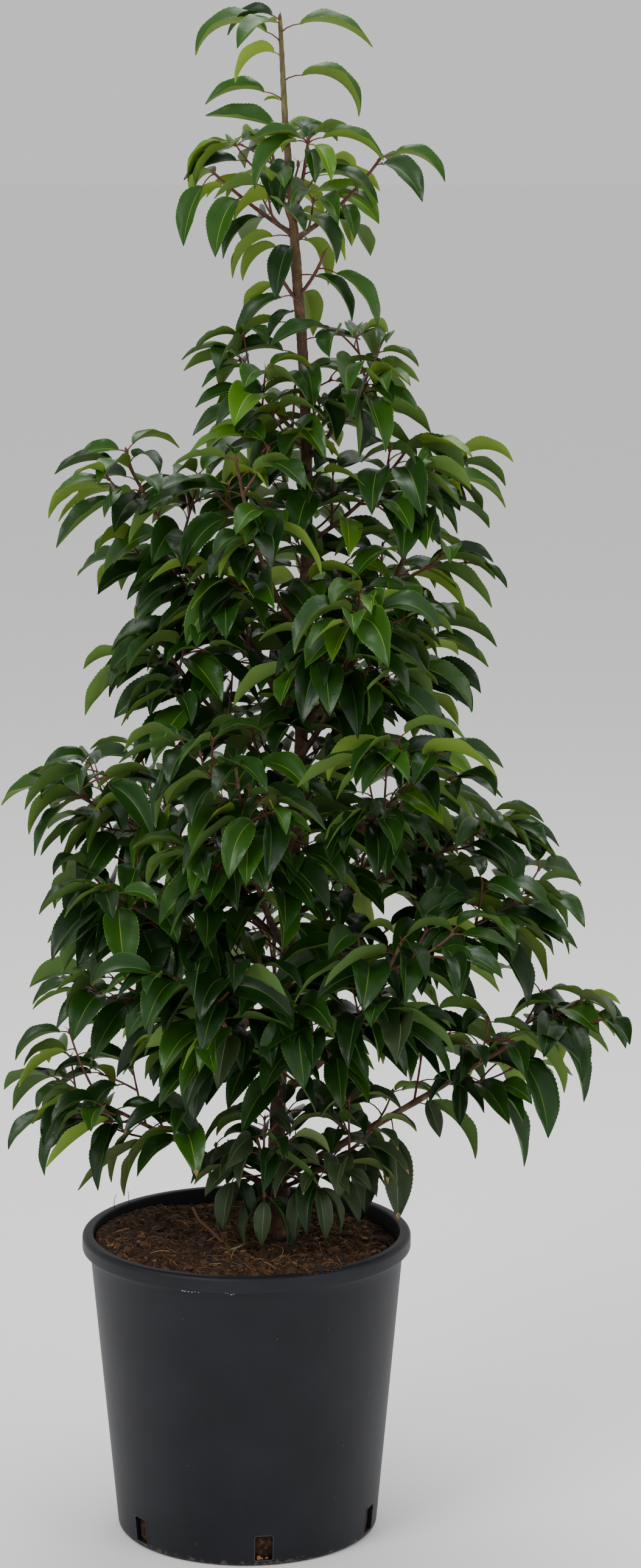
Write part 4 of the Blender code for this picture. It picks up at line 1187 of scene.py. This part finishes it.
def barked_tube(path, radii, sides, depth, swell):
    """A tube whose points are pushed in and out by long swellings and by fine rings and warts of the bark;
    its points, their places on the axis, and its triangles."""
    points, faces = tube(path, radii, sides)
    axis = [centre for centre in path for _ in range(sides)] + [path[0], path[-1]]
    moved = []
    for p, centre in zip(map(Vector, points), axis):
        broad = noise.noise(p * 60) * swell
        rings = noise.noise(Vector((p.x * 120, p.y * 120, p.z * 520))) * depth
        warts = max(noise.noise(p * 700) - 0.25, 0.0) * depth * 1.6
        moved.append(p + (p - centre).normalized() * (broad + rings + warts))
    return moved, axis, faces


def trunk_piece(finish):
    """The trunk with its flare, bark and the knuckle of an old cut shoot near its foot."""
    low, high = TRUNK[0].height - 0.004, TRUNK[-1].height
    path, radii = [], []
    for height in taper(low, high, TRUNK_RINGS - 1):
        centre, radius = trunk_at(height)
        centre.z = height
        path.append(centre)
        radii.append(radius)
    points, axis, faces = barked_tube(path, radii, TRUNK_SIDES, *TRUNK_RELIEF)
    knuckle = trunk_at(KNUCKLE_HEIGHT)[0] + KNUCKLE_ASIDE
    for k, (p, centre) in enumerate(zip(points, axis)):
        near = math.exp(-((p - knuckle).length / KNUCKLE_REACH) ** 2)
        flare = max(1 - (p.z - low) / FLARE_HEIGHT, 0.0)
        out = p - centre
        root = max(math.sin(math.atan2(out.y, out.x) * FLARE_ROOTS + 0.7), 0.0) * FLARE_OUT * flare ** 1.5
        points[k] = p + out.normalized() * (KNUCKLE_OUT * near + root)
    return piece_from("trunk_bark", points, faces, [finish])


def boughs_piece(finish):
    """The bare boughs, each with a collar where it leaves the trunk."""
    batch = Batch()
    for limb in LIMBS:
        if not limb.bare:
            continue
        reach = min(limb.bare + BOUGH_PAST, 1.0)
        path = curve(*limb_controls(limb), BOUGH_RINGS, 0.0, reach)
        radii = []
        for centre, share in zip(path, taper(0.0, reach, BOUGH_RINGS)):
            away = max((centre - path[0]).length - COLLAR_FROM, 0.0)
            collar = 1 + COLLAR_SWELL * math.exp(-away / COLLAR_FADE)
            radii.append(limb_radius(limb, share) * collar)
        points, _, faces = barked_tube(path, radii, BOUGH_SIDES, *BOUGH_RELIEF)
        batch.add(points, faces)
    return batch.piece("boughs_bark", [finish])


# Pot

def arc(x, z, radius, first, last, steps):
    """Points of a round stretch of a section, between two angles in degrees."""
    turns = [math.radians(turn) for turn in taper(first, last, steps)]
    return [(x + radius * math.cos(turn), z + radius * math.sin(turn)) for turn in turns]


def wall_radius(height):
    """Outer radius of the plain wall."""
    top = RIM_RADIUS - LIP_OUT
    return FOOT_RADIUS + (top - FOOT_RADIUS) * (height - FOOT_ROUND) / (POT_HEIGHT - LIP_HEIGHT - FOOT_ROUND)


def inner_radius(height):
    """Radius of the pot's inside."""
    foot, top = FOOT_RADIUS - WALL, RIM_RADIUS - LIP_OUT - WALL
    return foot + (top - foot) * (height - FLOOR) / (POT_HEIGHT - FLOOR)


def pot_section():
    """Section of the pot from the middle of its underside, up the outside, over the lip and down inside."""
    lip_foot = POT_HEIGHT - LIP_HEIGHT
    section = [(0.0, 0.0015), (0.060, 0.0015), (0.088, 0.0015), (0.0895, 0.0), (0.104, 0.0)]
    section += arc(FOOT_RADIUS - FOOT_ROUND, FOOT_ROUND, FOOT_ROUND, -80, 0, 8)
    section += [(wall_radius(h), h) for h in np.linspace(FOOT_ROUND + 0.002, lip_foot - 0.004, 34)]
    under = wall_radius(lip_foot)
    section += [(under + 0.0004, lip_foot - 0.0022), (under + 0.0014, lip_foot - 0.0008)]
    section += arc(RIM_RADIUS - 0.0022, lip_foot + 0.0020, 0.0022, -80, 0, 6)
    section += arc(RIM_RADIUS - LIP_ROUND, POT_HEIGHT - LIP_ROUND, LIP_ROUND, 0, 90, 9)
    section += arc(inner_radius(POT_HEIGHT) + 0.0018, POT_HEIGHT - 0.0018, 0.0018, 90, 180, 5)
    section += [(inner_radius(h), h) for h in np.linspace(POT_HEIGHT - 0.006, FLOOR + 0.002, 20)]
    return section + [(inner_radius(FLOOR) - 0.002, FLOOR), (0.0, FLOOR)]


def turned(section, sides):
    """Points and faces of a section turned about the Z axis, closed at both ends on the axis."""
    points, rings, faces = [], [], []
    for radius, height in section:
        count = sides if radius else 1
        rings.append([len(points) + k % count for k in range(sides)])
        turns = [2 * math.pi * k / sides for k in range(count)]
        points += [(radius * math.cos(turn), radius * math.sin(turn), height) for turn in turns]
    for ring, following in zip(rings, rings[1:]):
        for k in range(sides):
            after = (k + 1) % sides
            faces.append(tuple(dict.fromkeys((ring[k], ring[after], following[after], following[k]))))
    return points, faces


def hole_outline(margin):
    """Rounded upright oblong round a drain hole as (across, height) points."""
    corner = HOLE_CORNER + margin
    high, low = HOLE_HIGH + margin, HOLE_LOW - margin
    points = []
    for sx, sz, first in ((1, -1, -90), (1, 1, 0), (-1, 1, 90), (-1, -1, 180)):
        x = sx * ((HOLE_WIDTH + 2 * margin) / 2 - corner)
        z = (high + low) / 2 + sz * ((high - low) / 2 - corner)
        points += arc(x, z, corner, first, first + 90, 5)
    return points


def pot_piece(finish, pale):
    """The pot: turned wall and lip, with drain holes cut through and their moulding lines round them."""
    pot = stand("pot_shell", closed_mesh("pot_shell", *turned(pot_section(), POT_SIDES)))
    pot.data.materials.append(finish.material)
    outline, line = hole_outline(0.0), hole_outline(0.0003)
    count = len(outline)
    faces = [tuple(range(count)), tuple(range(2 * count - 1, count - 1, -1))]
    faces += [(i, i + count, (i + 1) % count + count, (i + 1) % count) for i in range(count)]
    cutters = []
    flash = Batch()
    for k in range(HOLE_COUNT):
        out = pointing(HOLE_FIRST + 2 * math.pi * k / HOLE_COUNT)
        side = Vector((-out.y, out.x, 0.0))
        ends = [out * (FOOT_RADIUS + depth) for depth in CUT_DEPTHS]
        points = [end + side * a + UP * h for end in ends for a, h in outline]
        cutters.append(stand(f"drain_cutter_{k}", closed_mesh("drain_cutter", points, faces)))
        path = []
        for a, h in line + line[:1]:
            radius = wall_radius(max(h, FOOT_ROUND))
            path.append(out * math.sqrt(radius ** 2 - a ** 2) + side * a + UP * h)
        flash.add(*tube(path, FLASH_RADIUS, 6))
    for cutter in cutters:
        cut = pot.modifiers.new("drain", "BOOLEAN")
        cut.operation = "DIFFERENCE"
        cut.object = cutter
        cut.solver = "EXACT"
    mesh = bpy.data.meshes.new_from_object(pot.evaluated_get(bpy.context.evaluated_depsgraph_get()))
    pot.modifiers.clear()
    pot.data = mesh
    for cutter in cutters:
        bpy.data.objects.remove(cutter, do_unlink=True)
    mesh.shade_smooth()
    mesh.set_sharp_from_angle(angle=math.radians(35))
    return pot, flash.piece("drain_hole_lines", [pale])


# Compost

def compost_height(x, y):
    """Height of the compost's top: level round the trunk, lower towards the wall at the back right and
    banked up to the lip at the left."""
    away = math.hypot(x - TRUNK[0].x, y - TRUNK[0].y)
    share = min(max((away - DIP_FROM) / DIP_OVER, 0.0), 1.0)
    turn = math.atan2(y, x)
    dip = COMPOST_DIP * max(math.cos(turn - DIP_TOWARDS), 0.0)
    bank = BANK * max(0.35 + 0.65 * math.cos(turn - BANK_TOWARDS), 0.0)
    return COMPOST_LEVEL + (bank - dip) * share * share


def compost_relief(x, y):
    """Crumbs and hollows of the compost's top above its general level."""
    p = Vector((x, y, 0.0))
    lumps = noise.fractal(p * LUMPS_A_METRE, 1.0, 2.1, 4)
    crumbs = noise.fractal(p * CRUMBS_A_METRE + Vector((7, 3, 1)), 0.7, 2.0, 4)
    return LUMP_RISE * lumps + CRUMB_RISE * crumbs


def ground(x, y):
    return compost_height(x, y) + compost_relief(x, y)


def on_compost(x, y, above=0.0):
    return Vector((x, y, ground(x, y) + above))


def compost_piece(finish):
    """The compost as one body: a crumbly top, and a root ball's side that shows through the drain holes."""
    sides, rings = COMPOST_SIDES, COMPOST_RINGS
    turns = [2 * math.pi * k / sides for k in range(sides)]
    top = inner_radius(COMPOST_LEVEL) - TOP_GAP
    points = []
    for ring in range(rings + 1):
        share = ring / rings
        relief = 0.35 + 0.65 * min((1 - share) * top / CALM_EDGE, 1.0)
        for turn in turns:
            x, y = top * share * math.cos(turn), top * share * math.sin(turn)
            points.append((x, y, compost_height(x, y) + compost_relief(x, y) * relief))
    for height in np.linspace(BALL_TOP, FLOOR + 0.0005, BALL_RINGS):
        for turn in turns:
            rough = 0.5 + noise.noise(Vector((turn * 30, height * 300, 0)))
            radius = inner_radius(height) - BALL_GAP - BALL_ROUGH * rough
            points.append((radius * math.cos(turn), radius * math.sin(turn), height))
    under = len(points)
    points.append((0.0, 0.0, FLOOR + 0.0005))
    last = under - sides
    faces = []
    for ring in range(0, last, sides):
        for k in range(sides):
            a, b = ring + k, ring + (k + 1) % sides
            if ring:
                faces.append((a, a + sides, b))
            faces.append((b, a + sides, b + sides))
    faces += [(last + k, under, last + (k + 1) % sides) for k in range(sides)]
    return piece_from("compost_top", points, faces, [finish], angle=180)


def scattered(rng, clear=0.0):
    """A random place on the compost."""
    while True:
        x, y = rng.uniform(-RIM_RADIUS, RIM_RADIUS), rng.uniform(-RIM_RADIUS, RIM_RADIUS)
        if math.hypot(x, y) < inner_radius(COMPOST_LEVEL) - 0.004 - clear:
            return on_compost(x, y)


def fibres_piece(skins):
    """Coir and root fibres lying curled over the crumbs, some standing a little proud, and longer straws."""
    rng = random.Random(SEED + 11)
    batch = Batch()
    inside = inner_radius(COMPOST_LEVEL)
    steps = 7
    for _ in range(FIBRE_COUNT):
        point = scattered(rng) + UP * FIBRE_ABOVE
        turn = any_turn(rng)
        length = rng.uniform(*FIBRE_LENGTHS) * (1.7 if rng.random() < 0.12 else 1.0)
        bend = rng.gauss(0, FIBRE_BEND)
        path = []
        for step in range(steps):
            path.append(point)
            point = point + pointing(turn + bend * step / (steps - 1)) * length / (steps - 1)
            if math.hypot(point.x, point.y) > inside - 0.002:
                break
            arch = math.sin(math.pi * (step + 1) / steps) * length * 0.10
            point.z = ground(point.x, point.y) + FIBRE_ABOVE + arch
        if len(path) > 2:
            batch.add(*tube(path, rng.uniform(*FIBRE_RADII), 3), rng.choice((0, 0, 1, 2)))
    for _ in range(STRAW_COUNT):
        place = scattered(rng, 0.012)
        reach = pointing(any_turn(rng)) * rng.uniform(*STRAW_LENGTHS)
        bow = Vector((-reach.y, reach.x, 0.0)) * rng.gauss(0, 0.35)
        rise = UP * rng.uniform(0.001, 0.007)
        path = curve(place - reach * 0.5, place + bow + rise, place + reach * 0.5 + rise, 8)
        if max(math.hypot(p.x, p.y) for p in path) < inside - 0.003:
            batch.add(*tube(path, rng.uniform(*STRAW_RADII), 4), rng.choice((0, 1, 1, 2)))
    return batch.piece("compost_fibres", skins)


def litter_piece(skins):
    """What lies on the compost: a bare brown twig leaning in it, a long straw, and hairs at the left rim."""
    batch = Batch()
    places = [on_compost(x, y, above) for x, y, above, _ in FALLEN_TWIG]
    batch.add(*tube(places, [radius for _, _, _, radius in FALLEN_TWIG], 8), 0)
    batch.add(*tube(curve(*[on_compost(*place) for place in LONG_STRAW], 8), 0.00045, 5), 1)
    for x, y, lean in RIM_HAIRS:
        foot = Vector((x, y, POT_HEIGHT - 0.008))
        aside = Vector((lean, 0.0, 0.0))
        hair = curve(foot, foot + UP * 0.012 + aside, foot + UP * 0.020 + aside * 0.2, 8)
        batch.add(*tube(hair, 0.00028, 4), 2)
    return batch.piece("compost_litter", skins)


def scrap_piece(finish):
    """A torn scrap of green leaf lying on the compost."""
    middle = on_compost(-0.0085, -0.040, 0.0026)
    lower = [middle + Vector(p) for p in SCRAP]
    count = len(lower)
    faces = [(0, k + 1, k) for k in range(1, count - 1)]
    faces += [(count, count + k, count + k + 1) for k in range(1, count - 1)]
    for k in range(count):
        after = (k + 1) % count
        faces += [(k, after, after + count), (k, after + count, k + count)]
    return piece_from("leaf_scrap", lower + [p + UP * SCRAP_THICK for p in lower], faces, [finish], angle=20)


def lump(centre, size, rng, flat=1.0):
    """A rough crumb: a many-sided ball with its corners pushed about."""
    turn = any_turn(rng)
    stretch = (rng.uniform(0.8, 1.6), rng.uniform(0.7, 1.1), flat * rng.uniform(0.7, 1.1))
    points = []
    for corner in BALL_CORNERS:
        p = Vector(corner).normalized() * size / 2 * rng.uniform(0.75, 1.2)
        p = Vector((p.x * stretch[0], p.y * stretch[1], p.z * stretch[2]))
        x = p.x * math.cos(turn) - p.y * math.sin(turn)
        y = p.x * math.sin(turn) + p.y * math.cos(turn)
        points.append((centre.x + x, centre.y + y, centre.z + p.z))
    return points, BALL_FACES


def crumbs_piece(finishes):
    """Loose crumbs of peat and chips of bark on the compost, spilt on the lip and in the front drain hole."""
    rng = random.Random(SEED + 13)
    batch = Batch()

    def at_turn(radius, turn, height, aside=0.0):
        return Vector((radius * math.cos(turn) - aside * math.sin(turn),
                       radius * math.sin(turn) + aside * math.cos(turn), height))

    for _ in range(CRUMB_COUNT):
        size = rng.uniform(*CRUMB_SIZES) * (1.6 if rng.random() < 0.08 else 1.0)
        batch.add(*lump(scattered(rng), size, rng), rng.choice((0, 0, 0, 1, 1, 2)))
    for count, clear, sizes, flat, skins in STREWN:
        for _ in range(count):
            place = scattered(rng, clear)
            batch.add(*lump(place, rng.uniform(*sizes), rng, flat), rng.choice(skins))
    for _ in range(SPILT_COUNT):
        turn = SPILL_TOWARDS + rng.gauss(0, 0.09)
        reach = RIM_RADIUS - rng.uniform(0.001, 0.011)
        place = at_turn(reach, turn, POT_HEIGHT + rng.uniform(-0.0008, 0.0004))
        batch.add(*lump(place, rng.uniform(*SPILT_SIZES), rng, 0.5), rng.choice((0, 1)))
    for turn, size, skin in WALL_CRUMBS:
        place = at_turn(inner_radius(COMPOST_LEVEL) - 0.012, math.radians(turn), 0.0)
        batch.add(*lump(on_compost(place.x, place.y, 0.001), size, rng), skin)
    for turn in LIP_FLECKS:
        height = POT_HEIGHT - LIP_HEIGHT + rng.uniform(0.0002, 0.0016)
        place = at_turn(RIM_RADIUS - 0.0004, math.radians(turn), height)
        batch.add(*lump(place, rng.uniform(*FLECK_SIZES), rng, 0.4), 4)
    for aside, height, size in HOLE_CRUMBS:
        place = at_turn(wall_radius(height) - 0.003, HOLE_FIRST, height, aside)
        batch.add(*lump(place, size, rng), 3)
    return batch.piece("compost_crumbs", finishes, 25)


# What is built

def grow_plant():
    plant = Plant()
    grow_singles(plant)
    for number, limb in enumerate(LIMBS):
        if limb.name == "leader":
            grow_leader(plant, limb)
        else:
            grow_limb(plant, number, limb)
    grow_spurs(plant)
    return plant


def build_plant():
    """Leaves and stalks by bands, and one piece each for the young shoots, the woody stems, the leader, the
    buds, the bare boughs and the trunk."""
    plant = grow_plant()
    finishes = leaf_finishes()
    # Smooth skin of this year's shoots and leaf stalks: brownish wine red and a little waxy, or still green.
    red = Finish("red_shoot_skin", "5c2f22", 0.45, IOR=1.45)
    green = Finish("green_shoot_skin", "76822f", 0.45, IOR=1.45)
    woody = bark("bough_bark", "3d281d", "5a3f2e", "75604c")
    masses = [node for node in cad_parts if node.startswith("foliage_")]
    tips = {f"foliage_{limb.name}": limb_controls(limb)[2].z for limb in LIMBS}
    for band, top, low in BANDS:
        leaves = [leaf for leaf in plant.leaves if low <= leaf.root.z < top]
        slot = "young_leaves" if band == "crown" else "laurel_leaves"
        dress(leaves_piece(f"leaves_{band}", leaves, finishes), slot,
              *sorted(node for node in masses if low <= tips[node] < top))
        dress(stalks_piece(f"leaf_stalks_{band}", leaves, [red, green]), slot)
    for name, skin, finish in (("shoots_young", RED, red), ("stems_woody", WOODY, woody),
                               ("leader_stem", OLIVE, olive_shoot_skin())):
        dress(twigs_piece(name, [twig for twig in plant.twigs if twig.skin == skin], [finish]), "bough_bark")
    # Papery brown scales.
    dress(buds_piece("buds", plant.buds, [Finish("bud_scale", "5a3424", 0.6, IOR=1.45)]), "bough_bark")
    dress(boughs_piece(woody), "bough_bark", *[f"bough_{limb.name}" for limb in LIMBS if limb.bare])
    dress(trunk_piece(bark("trunk_bark", "38241a", "563b2b", "72573f", 0.98)), "trunk_bark", "trunk")


def build_pot():
    # The seam's thin flash round each hole, paler where it has rubbed.
    pale = Finish("moulding_line_plastic", "2c2e32", 0.50, IOR=1.49)
    pot, lines = pot_piece(nursery_pot_plastic(), pale)
    dress(pot, "nursery_pot_plastic", "pot")
    dress(lines, "nursery_pot_plastic")


def build_compost():
    """The compost and what lies on it."""
    dress(compost_piece(moist_peat()), "moist_compost", "compost")
    # Coir and roots, bleached straw with a faint sheen, and wet dark fibres.
    straws = [Finish("root_fibre", "553a22", 0.8), Finish("straw", "8a6840", 0.7),
              Finish("dark_fibre", "2c1b0d", 0.85)]
    dress(fibres_piece(straws), "moist_compost")
    dress(litter_piece([Finish("dry_twig", "6b4a34", 0.8), *straws[1:]]), "moist_compost")
    dress(scrap_piece(Finish("green_scrap", "4f7a22", 0.5)), "moist_compost")
    # Wet and drier peat, chips of bark with a dry face, and pale mineral dust.
    crumbs = (("peat_crumb", "2b190e", 0.95), ("brown_crumb", "4a2f1a", 0.95), ("bark_chip", "6a4628", 0.85),
              ("pale_chip", "8a6038", 0.85), ("pale_dust", "a9a9a6", 0.9))
    dress(crumbs_piece([Finish(*look) for look in crumbs]), "moist_compost")


# Camera, floor and light

CAMERA_PLACE = (0.063, -3.252, 1.234)
CAMERA_PITCH = math.radians(-10.25)
LENS = 90.8
FLOOR_REACH = 40.0
# Square soft boxes: name, place, what they face, size and watts.
SOFT_BOXES = (
    ("key", (-1.9, -2.4, 3.2), (0.0, 0.0, 0.7), 1.6, 75),
    ("fill", (2.6, -2.0, 1.8), (0.0, 0.0, 0.6), 1.6, 26),
    ("crown", (0.3, 0.9, 3.4), (0.0, 0.0, 0.8), 1.8, 60),
)


def build_studio():
    """An even white surround, a pale floor, three soft boxes and the camera."""
    scene = bpy.context.scene
    camera = stand("camera", bpy.data.cameras.new("camera"))
    camera.data.lens = LENS
    camera.data.sensor_width = 36.0
    camera.data.clip_end = 100.0
    camera.location = CAMERA_PLACE
    camera.rotation_euler = (math.radians(90) + CAMERA_PITCH, 0.0, 0.0)
    scene.camera = camera
    world = bpy.data.worlds.new("studio")
    world.use_nodes = True
    background = world.node_tree.nodes["Background"].inputs
    background["Color"].default_value = (1.0, 1.0, 1.0, 1.0)
    background["Strength"].default_value = 0.75
    scene.world = world
    mesh = bpy.data.meshes.new("studio_floor")
    corners = [(x * FLOOR_REACH, y * FLOOR_REACH, 0) for x, y in ((-1, -1), (1, -1), (1, 1), (-1, 1))]
    mesh.from_pydata(corners, [], [(0, 1, 2, 3)])
    mesh.materials.append(Finish("pale_studio_floor", "f8f8f7", 0.9).material)
    stand("studio_floor", mesh)
    for name, place, target, size, watts in SOFT_BOXES:
        light = bpy.data.lights.new(name, "AREA")
        light.shape = "SQUARE"
        light.size = size
        light.energy = watts
        box = stand(name, light)
        box.location = place
        box.rotation_euler = (Vector(target) - box.location).to_track_quat("-Z", "Y").to_euler()


build_pot()
build_compost()
build_plant()
build_studio()
